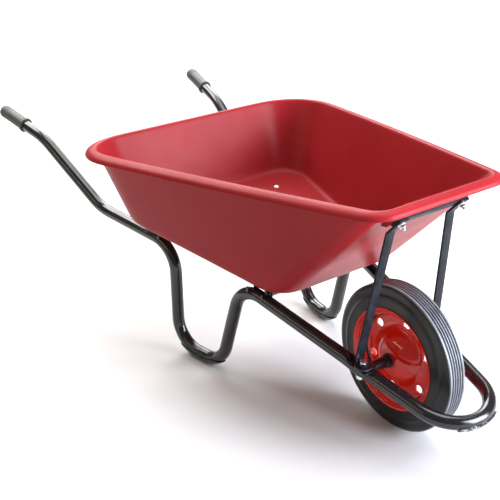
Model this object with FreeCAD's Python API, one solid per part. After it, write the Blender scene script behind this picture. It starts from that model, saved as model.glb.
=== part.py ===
import FreeCAD, Part
import math
import os

# A one-wheeled builder's barrow. Millimetres. +X points forward to the wheel, +Y to the
# barrow's left, +Z up. The ground is Z = 0 and the origin is midway along the barrow.
V = FreeCAD.Vector
SIDES = {"left": 1, "right": -1}

# Wheel and axle
WHEEL_RADIUS = 177.5
WHEEL_X = 541.0
TREAD_HALF_WIDTH = 23.5
TYRE_BASE_HALF_WIDTH = 30.0
TREAD_GROOVES = 5
GROOVE_DEPTH = 4.0
GROOVE_TOP_HALF = 2.0
GROOVE_BOTTOM_HALF = 1.0
DISC_RADIUS = 124.0
DISC_SHEET = 1.6
DISC_HOLES = 6
DISC_HOLE_RADIUS = 10.0
DISC_HOLE_CIRCLE = 88.0
DISC_HOLE_PHASE = 18.7
HUB_OUTER_RADIUS = 17.0
HUB_INNER_RADIUS = 15.0
HUB_HALF_LENGTH = 37.0
BUSH_FLANGE = 2.5
BUSH_FLANGE_RADIUS = 17.5
BUSH_DEPTH = 20.0
COLLAR_GAP = 0.4
AXLE_COLLAR_RADIUS = 15.0
AXLE_COLLAR_LENGTH = 12.0
AXLE_RADIUS = 12.5
AXLE_WALL = 2.5
AXLE_ROUND_HALF = 84.0
TONGUE_START = 100.0
TONGUE_WIDTH = 39.0
TONGUE_THICK = 5.0
RUNNING_CLEARANCE = 0.05

# Frame: one bent tube, each side of it in an upright plane that narrows towards the wheel
TUBE_RADIUS = 16.0
TUBE_WALL = 2.0
TUBE_Y_AT_AXLE = 118.0
TUBE_Z_AT_AXLE = 186.0
TUBE_TAPER = 0.1587
FRONT_SLOPE = 0.2321
FOOT_TUBE_Z = 18.0
BOW_RADIUS = 93.5
SADDLE_DEPTH = 10.0
SADDLE_SEAT = 42.0
SADDLE_RAMP = 22.0
# Corners of the tube's centreline in side view: (x, z, bend radius)
SIDE_CORNERS = [
    (-606.0, 471.0, 200.0),
    (-362.0, 324.0, 150.0),
    (-67.0, 297.0, 80.0),
    (-67.0, FOOT_TUBE_Z, 75.0),
    (96.0, FOOT_TUBE_Z, 75.0),
]
HUMP_X = 170.5
HUMP_RADIUS = 72.0
HANDLE_END = (-791.0, 513.0)

# Grips
GRIP_RADIUS = 18.5
GRIP_LENGTH = 110.0
GRIP_CAP = 4.0
COLLAR_RADIUS = 21.5
COLLAR_LENGTH = 6.0

# Pan: the floor and the rim are both planes that hold the Y direction
FLOOR_X = (-214.0, 324.0)
FLOOR_Z = (358.4, 287.6)
FLOOR_HALF = (300.1, 184.7)
FLOOR_CORNER = (76.0, 74.0)
RIM_X = (-312.0, 657.0)
RIM_Z = (543.9, 607.9)
RIM_HALF = (414.9, 194.0)
RIM_CORNER = (150.0, 60.0)
RIM_SIDE_BOW = 8.0
PAN_WALL = 4.0
LIP_WIDTH = 25.5
LIP_WIDTH_FRONT = 20.0
LIP_DROP = 18.0
LIP_OUTER = [(1, -11), (5, -6.5), (12, -2.5), (22, 0)]
LIP_UNDER = [(5, -13.5), (8.5, -10), (14.5, -6.5), (23, -4)]
FLOOR_ROUND = 20.0
WALL_SLOPE_LENGTH = 220.0
ROUND_ON_FLOOR = (0.42, 0.12)
ROUND_ON_WALL = (0.42, 0.10)
ROUND_ENDS = 1.15
LEDGE_THICK = 12.0
LEDGE_HALF = 106.0
LEDGE_RUN = 352.0

# Pan supports: two pressed channels welded across the tubes
CHANNEL_WIDTH = 45.0
CHANNEL_HEIGHT = 36.0
CHANNEL_SHEET = 2.5
CHANNEL_OVERHANG = 2.0
REAR_CHANNEL_X = -128.0
FRONT_CHANNEL_X = 235.0
REAR_BOLT_Y = 166.0
FRONT_BOLT_Y = 130.0

# Stays: flat bars from the pan's front wall down to the axle bolts
STAY_WIDTH = 25.0
STAY_THICK = 5.0
STAY_TOP_Y = 89.0
STAY_KINK_RUN = 349.0
LIP_BOLT_RUN = 390.0
STAY_TOP_RUN = 405.0
LIP_BAR_WIDTH = 25.0
LIP_BAR_THICK = 5.0
LIP_BAR_HALF = 104.0
LIP_BOLT_LENGTH = 42.0
FOOT_BACK = 14.0

# Fasteners: M8 through the pan, M10 through the axle
M8 = {"shank": 4.0, "head": 9.0, "head_high": 4.5, "flats": 13.0, "nut": 6.5, "washer": 9.5, "sheet": 1.6}
M10 = {"shank": 5.0, "flats": 17.0, "head_high": 6.4, "nut": 8.0, "washer": 10.5, "sheet": 2.0}
BOLT_GAP = 0.3
THREAD_GAP = 0.05

# Wear shoes
SHOE_RADIUS = 18.5
SHOE_TOP_Z = 24.0
NOSE_SHOE_ANGLE = 30.0
NOSE_SHOE_THICK = 4.0
NOSE_SHOE_SECTION = (-105, -80, -55, -30, -5)


def side_y(x, side):
    return side * (TUBE_Y_AT_AXLE + TUBE_TAPER * (WHEEL_X - x))


def front_z(x):
    return TUBE_Z_AT_AXLE + FRONT_SLOPE * (WHEEL_X - x)


def tube_point(x, z, side):
    return V(x, side_y(x, side), z)


def unit(vector):
    return V(vector).normalize()


def corner_arc(before, corner, after, radius):
    """Start, middle and end of the arc that rounds a corner between two straight runs."""
    a = unit(before - corner)
    b = unit(after - corner)
    half = a.getAngle(b) / 2
    reach = radius / math.tan(half)
    bisector = unit(a + b)
    centre = corner + bisector * (radius / math.sin(half))
    return corner + a * reach, centre - bisector * radius, corner + b * reach


def rounded_path(points, radii):
    """An open wire of straight runs and tangent arcs."""
    edges = []
    last = points[0]
    for i in range(1, len(points) - 1):
        start, middle, end = corner_arc(points[i - 1], points[i], points[i + 1], radii[i - 1])
        edges.append(Part.makeLine(last, start))
        edges.append(Part.Arc(start, middle, end).toShape())
        last = end
    edges.append(Part.makeLine(last, points[-1]))
    return Part.Wire(edges)


def rounded_loop(points, radii, bows):
    """A closed wire: tangent arcs at its corners, and sides that may bow along Y."""
    count = len(points)
    arcs = []
    for i in range(count):
        arcs.append(corner_arc(points[i - 1], points[i], points[(i + 1) % count], radii[i]))
    edges = []
    for i in range(count):
        start, middle, end = arcs[i]
        following = arcs[(i + 1) % count][0]
        edges.append(Part.Arc(start, middle, end).toShape())
        if bows[i] == 0:
            edges.append(Part.makeLine(end, following))
        else:
            edges.append(Part.Arc(end, (end + following) * 0.5 + V(0, bows[i], 0), following).toShape())
    return Part.Wire(edges)


def pipe(path, radius):
    """A solid round bar along a path."""
    start = path.OrderedVertexes[0].Point
    edge = path.OrderedEdges[0]
    direction = edge.tangentAt(edge.FirstParameter)
    circle = Part.Wire([Part.makeCircle(radius, start, direction)])
    return path.makePipeShell([circle], True, False)


def revolve(outline, base, direction):
    """Turns an outline of (radius, distance along the axis) points about an axis."""
    points = [V(r, 0, s) for r, s in outline]
    face = Part.Face(Part.makePolygon(points + [points[0]]))
    solid = face.revolve(V(0, 0, 0), V(0, 0, 1), 360)
    solid.Placement = FreeCAD.Placement(base, FreeCAD.Rotation(V(0, 0, 1), direction))
    return solid


def block(centre, along, across, length, width, height):
    """A box centred on a point, with its length along one unit vector and its width across."""
    up = along.cross(across)
    corner = centre - along * (length / 2) - across * (width / 2) - up * (height / 2)
    base = Part.makeBox(length, width, height)
    turn = FreeCAD.Matrix(
        along.x, across.x, up.x, corner.x,
        along.y, across.y, up.y, corner.y,
        along.z, across.z, up.z, corner.z,
        0, 0, 0, 1)
    base.transformShape(turn)
    return base


def hexagon(centre, axis, flats, height):
    """A hexagonal prism standing on a point."""
    reach = flats / math.sqrt(3)
    corners = [V(reach * math.cos(k * math.pi / 3), reach * math.sin(k * math.pi / 3), 0) for k in range(7)]
    prism = Part.Face(Part.makePolygon(corners)).extrude(V(0, 0, height))
    prism.Placement = FreeCAD.Placement(centre, FreeCAD.Rotation(V(0, 0, 1), axis))
    return prism


def save(name, *solids):
    shape = solids[0] if len(solids) == 1 else Part.makeCompound(list(solids))
    for solid in shape.Solids:
        if not solid.isValid():
            print("invalid solid in", name)
    shape.exportStep("parts/" + name + ".step")
    print(name, len(shape.Solids), "solids", round(shape.Volume / 1000, 1), "cm3")


# ---------------------------------------------------------------- frame

AXLE_TILT = math.atan(FRONT_SLOPE)
SEAT_ALONG = V(math.cos(AXLE_TILT), 0, -math.sin(AXLE_TILT))
SEAT_UP = V(math.sin(AXLE_TILT), 0, math.cos(AXLE_TILT))
SEAT_HEIGHT = TUBE_RADIUS - SADDLE_DEPTH


def seat_point(side, along, up):
    """A point at the axle seat, measured from the tube's centre along and above the tube."""
    return V(WHEEL_X, side * TUBE_Y_AT_AXLE, TUBE_Z_AT_AXLE) + SEAT_ALONG * along + SEAT_UP * up


def side_points(side):
    points = [tube_point(HANDLE_END[0], HANDLE_END[1], side)]
    points += [tube_point(x, z, side) for x, z, radius in SIDE_CORNERS]
    points.append(tube_point(HUMP_X, front_z(HUMP_X), side))
    return points


def frame_path():
    """The whole centreline: up one side, round the bow, and back down the other."""
    meeting_x = WHEEL_X + TUBE_Y_AT_AXLE / TUBE_TAPER
    meeting = V(meeting_x, 0, front_z(meeting_x))
    radii = [radius for x, z, radius in SIDE_CORNERS] + [HUMP_RADIUS]
    points = side_points(1) + [meeting] + side_points(-1)[::-1]
    return rounded_path(points, radii + [BOW_RADIUS] + radii[::-1])


def saddle_cut(side, height):
    """The space above the pressed seat that carries the axle's flat end."""
    half = SADDLE_SEAT / 2
    top = 2 * TUBE_RADIUS
    slope = (TUBE_RADIUS + 2 - SEAT_HEIGHT) / SADDLE_RAMP
    reach = half + (top - height) / slope
    outline = [(-reach, top), (-half, height), (half, height), (reach, top), (-reach, top)]
    points = [seat_point(side, along, up) for along, up in outline]
    width = 4 * TUBE_RADIUS
    face = Part.Face(Part.makePolygon(points))
    face.translate(V(0, -width / 2, 0))
    return face.extrude(V(0, width, 0))


def frame_tube():
    path = frame_path()
    outer = pipe(path, TUBE_RADIUS)
    inner = pipe(path, TUBE_RADIUS - TUBE_WALL)
    for side in SIDES.values():
        outer = outer.cut(saddle_cut(side, SEAT_HEIGHT))
        inner = inner.cut(saddle_cut(side, SEAT_HEIGHT - TUBE_WALL))
    tube = outer.cut(inner)
    for side in SIDES.values():
        hole = Part.makeCylinder(
            M10["shank"] + BOLT_GAP, 4 * TUBE_RADIUS, seat_point(side, 0, -2 * TUBE_RADIUS), SEAT_UP)
        tube = tube.cut(hole)
    return tube


def handle_axis(side):
    """The tube's end and the unit vector from it down the handle."""
    end = tube_point(HANDLE_END[0], HANDLE_END[1], side)
    bend = tube_point(SIDE_CORNERS[0][0], SIDE_CORNERS[0][1], side)
    return end, unit(bend - end)


def grip(side):
    end, direction = handle_axis(side)
    bore = TUBE_RADIUS + RUNNING_CLEARANCE
    front = GRIP_LENGTH - GRIP_CAP
    outline = [
        (0, -GRIP_CAP), (13, -GRIP_CAP), (16.6, -2.6), (GRIP_RADIUS, 1.5),
        (GRIP_RADIUS, front - COLLAR_LENGTH - 2), (COLLAR_RADIUS, front - COLLAR_LENGTH),
        (COLLAR_RADIUS, front - 1), (COLLAR_RADIUS - 1, front), (bore, front), (bore, 0), (0, 0)]
    return revolve(outline, end, direction)


def leg_path(side):
    """The centreline of one leg's U, from high on its back run to high on its front run."""
    x, z, radius = SIDE_CORNERS[2]
    back = tube_point(x, z, side)
    rear = tube_point(SIDE_CORNERS[3][0], SIDE_CORNERS[3][1], side)
    front = tube_point(SIDE_CORNERS[4][0], SIDE_CORNERS[4][1], side)
    hump = tube_point(HUMP_X, front_z(HUMP_X), side)
    return rounded_path([back, rear, front, hump], [SIDE_CORNERS[3][2], SIDE_CORNERS[4][2]])


def foot_shoe(side):
    """A curved wear plate under the leg's bend, ground flat where it stands."""
    path = leg_path(side)
    ends = [vertex.Point for vertex in path.OrderedVertexes]
    closed = Part.Wire(path.OrderedEdges + [Part.makeLine(ends[-1], ends[0])])
    plane_normal = unit(V(TUBE_TAPER * side, 1, 0))
    above = Part.Face(closed)
    above.translate(plane_normal * -40)
    above = above.extrude(plane_normal * 80)
    low = Part.makeBox(400, 200, SHOE_TOP_Z, V(-180, side_y(0, side) - 100, 0))
    shoe = pipe(path, SHOE_RADIUS)
    shoe = shoe.cut(pipe(path, TUBE_RADIUS + RUNNING_CLEARANCE))
    shoe = shoe.cut(above)
    return shoe.common(low)


def nose_shoe():
    """A tipping guard: a curved plate welded under the front of the bow."""
    meeting_x = WHEEL_X + TUBE_Y_AT_AXLE / TUBE_TAPER
    slope_length = math.hypot(1, FRONT_SLOPE)
    half_angle = math.atan(TUBE_TAPER / slope_length)
    centre_x = meeting_x - BOW_RADIUS / math.sin(half_angle) / slope_length
    centre = V(centre_x, 0, front_z(centre_x))
    inner = TUBE_RADIUS + RUNNING_CLEARANCE
    outer = inner + NOSE_SHOE_THICK
    sector = []
    steps = [math.radians(a) for a in NOSE_SHOE_SECTION]
    for radius, order in ((outer, steps), (inner, steps[::-1])):
        for angle in order:
            offset = SEAT_ALONG * (BOW_RADIUS + radius * math.cos(angle)) + SEAT_UP * (radius * math.sin(angle))
            sector.append(centre + offset)
    face = Part.Face(Part.makePolygon(sector + [sector[0]]))
    face.rotate(centre, SEAT_UP, -NOSE_SHOE_ANGLE)
    plate = face.revolve(centre, SEAT_UP, 2 * NOSE_SHOE_ANGLE)
    ring = Part.makeTorus(BOW_RADIUS, inner, centre, SEAT_UP)
    return plate.cut(ring)


# ---------------------------------------------------------------- wheel and axle

def flat_section(y, side):
    """The flattened axle's section: a slot shape with rounded ends."""
    centre = seat_point(side, 0, SEAT_HEIGHT + TONGUE_THICK / 2)
    centre.y = y
    half = TONGUE_WIDTH / 2 - TONGUE_THICK / 2
    rise = SEAT_UP * (TONGUE_THICK / 2)
    run = SEAT_ALONG * half
    tip = SEAT_ALONG * (TONGUE_WIDTH / 2)
    return Part.Wire([
        Part.makeLine(centre - run + rise, centre + run + rise),
        Part.Arc(centre + run + rise, centre + tip, centre + run - rise).toShape(),
        Part.makeLine(centre + run - rise, centre - run - rise),
        Part.Arc(centre - run - rise, centre - tip, centre - run + rise).toShape()])


def round_section(y):
    """The axle's round section, in four arcs that match the flattened one's edges."""
    centre = V(WHEEL_X, y, WHEEL_RADIUS)
    lean = math.radians(28)

    def rim(angle):
        return centre + (SEAT_ALONG * math.cos(angle) + SEAT_UP * math.sin(angle)) * AXLE_RADIUS
    left, right = math.pi - lean, lean
    return Part.Wire([
        Part.Arc(rim(left), rim(math.pi / 2), rim(right)).toShape(),
        Part.Arc(rim(right), rim(0), rim(-right)).toShape(),
        Part.Arc(rim(-right), rim(-math.pi / 2), rim(-left)).toShape(),
        Part.Arc(rim(-left), rim(math.pi), rim(left)).toShape()])


def tongue(side):
    """The flat bolted end of the axle, with a round tip."""
    tip_centre = seat_point(side, 0, SEAT_HEIGHT)
    root = V(tip_centre)
    root.y = side * TONGUE_START
    middle = (tip_centre + root) * 0.5 + SEAT_UP * (TONGUE_THICK / 2)
    length = abs(tip_centre.y - root.y)
    plate = block(middle, SEAT_ALONG, V(0, 1, 0), TONGUE_WIDTH, length, TONGUE_THICK)
    tip = Part.makeCylinder(TONGUE_WIDTH / 2, TONGUE_THICK, tip_centre, SEAT_UP)
    return plate.fuse(tip)


def axle():
    bar = Part.makeCylinder(
        AXLE_RADIUS, 2 * AXLE_ROUND_HALF, V(WHEEL_X, -AXLE_ROUND_HALF, WHEEL_RADIUS), V(0, 1, 0))
    for side in SIDES.values():
        neck = Part.makeLoft(
            [round_section(side * AXLE_ROUND_HALF), flat_section(side * TONGUE_START, side)], True, True)
        bar = bar.fuse(neck)
        bar = bar.fuse(tongue(side))
    bar = bar.removeSplitter()
    bore = Part.makeCylinder(
        AXLE_RADIUS - AXLE_WALL, 2 * AXLE_ROUND_HALF - 4, V(WHEEL_X, -AXLE_ROUND_HALF + 2, WHEEL_RADIUS), V(0, 1, 0))
    bar = bar.cut(bore)
    for side in SIDES.values():
        bar = bar.cut(Part.makeCylinder(M10["shank"] + BOLT_GAP, 20, seat_point(side, 0, 0), SEAT_UP))
    return bar


def wheel_solid(outline):
    return revolve(outline, V(WHEEL_X, 0, WHEEL_RADIUS), V(0, 1, 0))


def sheet_outline(points, thickness):
    """Both faces of a pressed sheet, from the points of its inner face."""
    shifted = []
    for i, point in enumerate(points):
        before = points[max(i - 1, 0)]
        after = points[min(i + 1, len(points) - 1)]
        run = V(after[0] - before[0], after[1] - before[1], 0).normalize()
        shifted.append((point[0] - run.y * thickness, point[1] + run.x * thickness))
    return points + shifted[::-1]


def disc_points():
    """The pressed disc's inner face: (radius, distance from the wheel's middle)."""
    return [
        (HUB_OUTER_RADIUS, 34.9), (27, 33.6), (38, 30.0), (48, 24.4), (56, 17.6), (62, 10.8), (65, 7.2),
        (69, 3.6), (74, 1.2), (80, 0.1), (97, 0.1), (102, 1.8), (105.5, 6.0), (107, 12.0), (108, 17.5),
        (110, 20.2), (113.5, 21.5), (115, 25.0), (118, 26.6), (120, 29.4), (DISC_RADIUS, 30.6)]


def wheel_disc(side):
    outline = [(r, side * y) for r, y in sheet_outline(disc_points(), DISC_SHEET)]
    disc = wheel_solid(outline)
    for k in range(DISC_HOLES):
        angle = math.radians(DISC_HOLE_PHASE + k * 360 / DISC_HOLES)
        centre = V(
            WHEEL_X + DISC_HOLE_CIRCLE * math.cos(angle), -20, WHEEL_RADIUS + DISC_HOLE_CIRCLE * math.sin(angle))
        disc = disc.cut(Part.makeCylinder(DISC_HOLE_RADIUS, 40, centre, V(0, 1, 0)))
    return disc


def tyre():
    """A solid rubber tyre, grooved round its tread, gripped between the two discs."""
    gripped = [(r + 0.4, y - 0.2) for r, y in disc_points() if r > 103]
    half = [(106.0, 0.0)] + gripped
    half += [(128, TYRE_BASE_HALF_WIDTH), (168, TREAD_HALF_WIDTH + 1.5), (174, TREAD_HALF_WIDTH)]
    half += [(WHEEL_RADIUS - 1.0, TREAD_HALF_WIDTH - 2.0)]
    tread = []
    pitch = 2 * (TREAD_HALF_WIDTH - 2.0) / (TREAD_GROOVES + 1)
    for k in range(TREAD_GROOVES):
        y = TREAD_HALF_WIDTH - 2.0 - (k + 1) * pitch
        bottom = WHEEL_RADIUS - GROOVE_DEPTH
        tread += [(WHEEL_RADIUS, y + GROOVE_TOP_HALF), (bottom, y + GROOVE_BOTTOM_HALF)]
        tread += [(bottom, y - GROOVE_BOTTOM_HALF), (WHEEL_RADIUS, y - GROOVE_TOP_HALF)]
    other = [(r, -y) for r, y in half[::-1] if y > 0]
    return wheel_solid(half + tread + other)


def hub_tube():
    return wheel_solid([
        (HUB_INNER_RADIUS, -HUB_HALF_LENGTH), (HUB_OUTER_RADIUS - 0.02, -HUB_HALF_LENGTH),
        (HUB_OUTER_RADIUS - 0.02, HUB_HALF_LENGTH), (HUB_INNER_RADIUS, HUB_HALF_LENGTH)])


def bush(side):
    """A flanged plastic bearing pressed into one end of the hub."""
    bore = AXLE_RADIUS + RUNNING_CLEARANCE
    outer = HUB_INNER_RADIUS - 0.02
    face = HUB_HALF_LENGTH + BUSH_FLANGE
    outline = [
        (bore, HUB_HALF_LENGTH - BUSH_DEPTH), (outer, HUB_HALF_LENGTH - BUSH_DEPTH), (outer, HUB_HALF_LENGTH),
        (BUSH_FLANGE_RADIUS, HUB_HALF_LENGTH), (BUSH_FLANGE_RADIUS, face - 0.8),
        (BUSH_FLANGE_RADIUS - 0.8, face), (bore, face)]
    return wheel_solid([(r, side * y) for r, y in outline])


def axle_collar(side):
    """A spacer sleeve pinched on the axle, which keeps the wheel in the middle."""
    start = HUB_HALF_LENGTH + BUSH_FLANGE + COLLAR_GAP
    end = start + AXLE_COLLAR_LENGTH
    bore = AXLE_RADIUS + RUNNING_CLEARANCE
    outline = [
        (bore, start), (AXLE_COLLAR_RADIUS, start), (AXLE_COLLAR_RADIUS, end - 1),
        (AXLE_COLLAR_RADIUS - 1, end), (bore, end)]
    return wheel_solid([(r, side * y) for r, y in outline])


def axle_bolt(side):
    """A hexagon bolt down through the stay, the axle's flat end and the tube."""
    top = SEAT_HEIGHT + TONGUE_THICK + STAY_THICK
    head = hexagon(seat_point(side, 0, top), SEAT_UP, M10["flats"], M10["head_high"])
    length = top + TUBE_RADIUS + M10["sheet"] + M10["nut"] + 4
    shank = Part.makeCylinder(M10["shank"], length, seat_point(side, 0, top - length), SEAT_UP)
    return head.fuse(shank)


def axle_bolt_washer(side):
    bottom = -TUBE_RADIUS - M10["sheet"]
    plate = Part.makeCylinder(M10["washer"], M10["sheet"], seat_point(side, 0, bottom), SEAT_UP)
    hole = Part.makeCylinder(M10["shank"] + 0.25, 10, seat_point(side, 0, bottom - 4), SEAT_UP)
    return plate.cut(hole)


def axle_nut(side):
    bottom = -TUBE_RADIUS - M10["sheet"] - M10["nut"]
    body = hexagon(seat_point(side, 0, bottom), SEAT_UP, M10["flats"], M10["nut"])
    return body.cut(Part.makeCylinder(M10["shank"] + THREAD_GAP, 20, seat_point(side, 0, bottom - 4), SEAT_UP))


# ---------------------------------------------------------------- pan

def between(low, high, t):
    return low + (high - low) * t


def pan_loop(level, inset, rise, front_inset=None):
    """A rounded four-cornered outline between the floor (level 0) and the rim (level 1)."""
    insets = (inset, inset if front_inset is None else front_inset)
    floor_slope = (FLOOR_Z[1] - FLOOR_Z[0]) / (FLOOR_X[1] - FLOOR_X[0])
    rim_slope = (RIM_Z[1] - RIM_Z[0]) / (RIM_X[1] - RIM_X[0])
    slope = between(floor_slope, rim_slope, level)
    floor_taper = (FLOOR_HALF[0] - FLOOR_HALF[1]) / (FLOOR_X[1] - FLOOR_X[0])
    rim_taper = (RIM_HALF[0] - RIM_HALF[1]) / (RIM_X[1] - RIM_X[0])
    taper = between(floor_taper, rim_taper, level)
    corners = []
    radii = []
    for end, inward in ((0, 1), (1, -1)):
        shift = inward * insets[end]
        x = between(FLOOR_X[end], RIM_X[end], level) + shift
        half = between(FLOOR_HALF[end], RIM_HALF[end], level) - inset * math.hypot(1, taper) - taper * shift
        z = between(FLOOR_Z[end], RIM_Z[end], level) + slope * shift + rise
        corners.append((x, half, z))
        radii.append(between(FLOOR_CORNER[end], RIM_CORNER[end], level) - insets[end])
    (rear_x, rear_half, rear_z), (nose_x, nose_half, nose_z) = corners
    points = [
        V(rear_x, rear_half, rear_z), V(rear_x, -rear_half, rear_z),
        V(nose_x, -nose_half, nose_z), V(nose_x, nose_half, nose_z)]
    bow = RIM_SIDE_BOW * level
    return rounded_loop(points, [radii[0], radii[0], radii[1], radii[1]], [0, -bow, 0, bow])


def wall_top(inset, rise):
    """The outline of the wall where it meets the lip."""
    return pan_loop(1.0, LIP_WIDTH + inset, rise, LIP_WIDTH_FRONT + inset)


def ruled(loops):
    return Part.makeLoft(loops, True, True)


def wall_level(t, inset, rise):
    """An outline on the straight wall: t runs from 0 at the floor to 1 under the lip."""
    low = pan_loop(0.0, inset, rise)
    high = wall_top(inset, rise)
    points = []
    for a, b in zip(low.OrderedVertexes, high.OrderedVertexes):
        points.append(a.Point + (b.Point - a.Point) * t)
    edges = []
    count = len(points)
    for i in range(count):
        start = points[i]
        end = points[(i + 1) % count]
        low_edge = low.OrderedEdges[i]
        high_edge = high.OrderedEdges[i]
        if low_edge.Curve.TypeId == "Part::GeomCircle":
            middle_low = low_edge.valueAt((low_edge.FirstParameter + low_edge.LastParameter) / 2)
            middle_high = high_edge.valueAt((high_edge.FirstParameter + high_edge.LastParameter) / 2)
            edges.append(Part.Arc(start, middle_low + (middle_high - middle_low) * t, end).toShape())
        else:
            edges.append(Part.makeLine(start, end))
    return Part.Wire(edges)


def tub(inset, lift, top):
    """The tapered body of the pan, rounded where its walls meet its floor."""
    soft = FLOOR_ROUND - inset
    rise = soft / WALL_SLOPE_LENGTH
    return ruled([
        pan_loop(0.0, inset + soft, lift),
        pan_loop(0.0, inset + soft * ROUND_ON_FLOOR[0], lift + soft * ROUND_ON_FLOOR[1]),
        wall_level(rise * ROUND_ON_WALL[0], inset + soft * ROUND_ON_WALL[1], lift),
        wall_level(rise * ROUND_ENDS, inset, lift),
        wall_level(1.0, inset, top)])


def front_ledge():
    """The moulded ledge across the front wall, under the lip, that the stays bolt against."""
    outline = [
        (LEDGE_RUN, -1), (LEDGE_RUN + LEDGE_THICK, LEDGE_THICK), (WALL_LENGTH - 8, LEDGE_THICK),
        (WALL_LENGTH - 2, -1), (LEDGE_RUN, -1)]
    face = Part.Face(Part.makePolygon([wall_point(-LEDGE_HALF, run, out) for run, out in outline]))
    return face.extrude(V(0, 2 * LEDGE_HALF, 0))


def pan():
    lip = ruled([pan_loop(1.0, 0, -LIP_DROP)] + [pan_loop(1.0, inset, rise) for inset, rise in LIP_OUTER])
    below = [(PAN_WALL, -LIP_DROP - 1)] + LIP_UNDER
    under = ruled([pan_loop(1.0, inset, rise) for inset, rise in below])
    shell = lip.cut(under)
    shell = shell.fuse(tub(0.0, 0.0, -2.0))
    shell = shell.fuse(front_ledge())
    shell = shell.cut(tub(PAN_WALL, PAN_WALL, PAN_WALL - 2.0))
    for centre in floor_bolt_points():
        hole = Part.makeCylinder(M8["shank"] + BOLT_GAP, 30, centre - FLOOR_UP * 15, FLOOR_UP)
        shell = shell.cut(hole)
    for side in SIDES.values():
        start = wall_point(side * STAY_TOP_Y, LIP_BOLT_RUN, -20)
        shell = shell.cut(Part.makeCylinder(M8["shank"] + BOLT_GAP, 40, start, WALL_OUT))
    return shell


# The floor's underside and the front wall's outer face, as local frames
FLOOR_TILT = math.atan2(FLOOR_Z[0] - FLOOR_Z[1], FLOOR_X[1] - FLOOR_X[0])
FLOOR_ALONG = V(math.cos(FLOOR_TILT), 0, -math.sin(FLOOR_TILT))
FLOOR_UP = V(math.sin(FLOOR_TILT), 0, math.cos(FLOOR_TILT))
WALL_FOOT = V(FLOOR_X[1], 0, FLOOR_Z[1])
WALL_HEAD = V(RIM_X[1] - LIP_WIDTH_FRONT, 0, RIM_Z[1])
WALL_LENGTH = (WALL_HEAD - WALL_FOOT).Length
WALL_UP = unit(WALL_HEAD - WALL_FOOT)
WALL_OUT = V(WALL_UP.z, 0, -WALL_UP.x)


def floor_point(x, y, below):
    """A point under the pan's floor."""
    z = FLOOR_Z[0] + (x - FLOOR_X[0]) * (FLOOR_Z[1] - FLOOR_Z[0]) / (FLOOR_X[1] - FLOOR_X[0])
    return V(x, y, z) - FLOOR_UP * below


def wall_point(y, run, out):
    """A point on the front wall: run is measured up its slope, out is clear of its outer face."""
    point = WALL_FOOT + WALL_UP * run + WALL_OUT * out
    return V(point.x, y, point.z)


def floor_bolt_points():
    points = []
    for x, y in ((REAR_CHANNEL_X, REAR_BOLT_Y), (FRONT_CHANNEL_X, FRONT_BOLT_Y)):
        for side in SIDES.values():
            points.append(floor_point(x, side * y, 0))
    return points


def crossmember(x):
    """A pressed channel, open underneath, that sits over both frame tubes under the pan's floor."""
    sheet = CHANNEL_SHEET
    half_length = side_y(x, 1) + CHANNEL_OVERHANG
    across = V(0, 1, 0)
    centre = floor_point(x, 0, 0.1 + CHANNEL_HEIGHT / 2)
    bar = block(centre, FLOOR_ALONG, across, CHANNEL_WIDTH, 2 * half_length, CHANNEL_HEIGHT)
    hollow = block(
        centre - FLOOR_UP * sheet, FLOOR_ALONG, across, CHANNEL_WIDTH - 2 * sheet, 2 * half_length + 2, CHANNEL_HEIGHT)
    bar = bar.cut(hollow)
    for centre in floor_bolt_points():
        if abs(centre.x - x) < CHANNEL_WIDTH:
            hole = Part.makeCylinder(M8["shank"] + BOLT_GAP, 30, centre - FLOOR_UP * 15, FLOOR_UP)
            bar = bar.cut(hole)
    return bar.cut(pipe(frame_path(), TUBE_RADIUS + RUNNING_CLEARANCE))


def cup_head(base, up):
    """The low domed head of a coach bolt."""
    high = M8["head_high"]
    radius = M8["head"]
    steps = [math.radians(15 * k) for k in range(7)]
    outline = [(0, 0)] + [(radius * math.cos(a), high * math.sin(a)) for a in steps]
    return revolve(outline, base, up)


def coach_bolt(base, up, length):
    """A coach bolt: domed head on a surface, shank down through it."""
    shank = Part.makeCylinder(M8["shank"], length, base - up * length, up)
    return cup_head(base, up).fuse(shank)


def plain_washer(base, up):
    plate = Part.makeCylinder(M8["washer"], M8["sheet"], base, up)
    return plate.cut(Part.makeCylinder(M8["shank"] + 0.25, 10, base - up * 4, up))


def plain_nut(base, up):
    body = hexagon(base, up, M8["flats"], M8["nut"])
    return body.cut(Part.makeCylinder(M8["shank"] + THREAD_GAP, 20, base - up * 4, up))


def pan_fasteners():
    bolts, washers, nuts = [], [], []
    under = 0.1 + CHANNEL_SHEET
    for point in floor_bolt_points():
        bolts.append(coach_bolt(point + FLOOR_UP * (PAN_WALL + 0.05), FLOOR_UP, 22))
        washer_base = point - FLOOR_UP * (under + M8["sheet"] + 0.02)
        washers.append(plain_washer(washer_base, FLOOR_UP))
        nuts.append(plain_nut(washer_base - FLOOR_UP * M8["nut"], FLOOR_UP))
    return bolts, washers, nuts


# ---------------------------------------------------------------- stays

def lip_bar():
    """A flat bar across the pan's front wall, under the lip."""
    centre = wall_point(0, LIP_BOLT_RUN, LEDGE_THICK + LIP_BAR_THICK / 2 + 0.1)
    bar = block(centre, WALL_UP, V(0, 1, 0), LIP_BAR_WIDTH, 2 * LIP_BAR_HALF, LIP_BAR_THICK)
    for side in SIDES.values():
        start = wall_point(side * STAY_TOP_Y, LIP_BOLT_RUN, -20)
        bar = bar.cut(Part.makeCylinder(M8["shank"] + BOLT_GAP, 40, start, WALL_OUT))
    return bar


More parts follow.
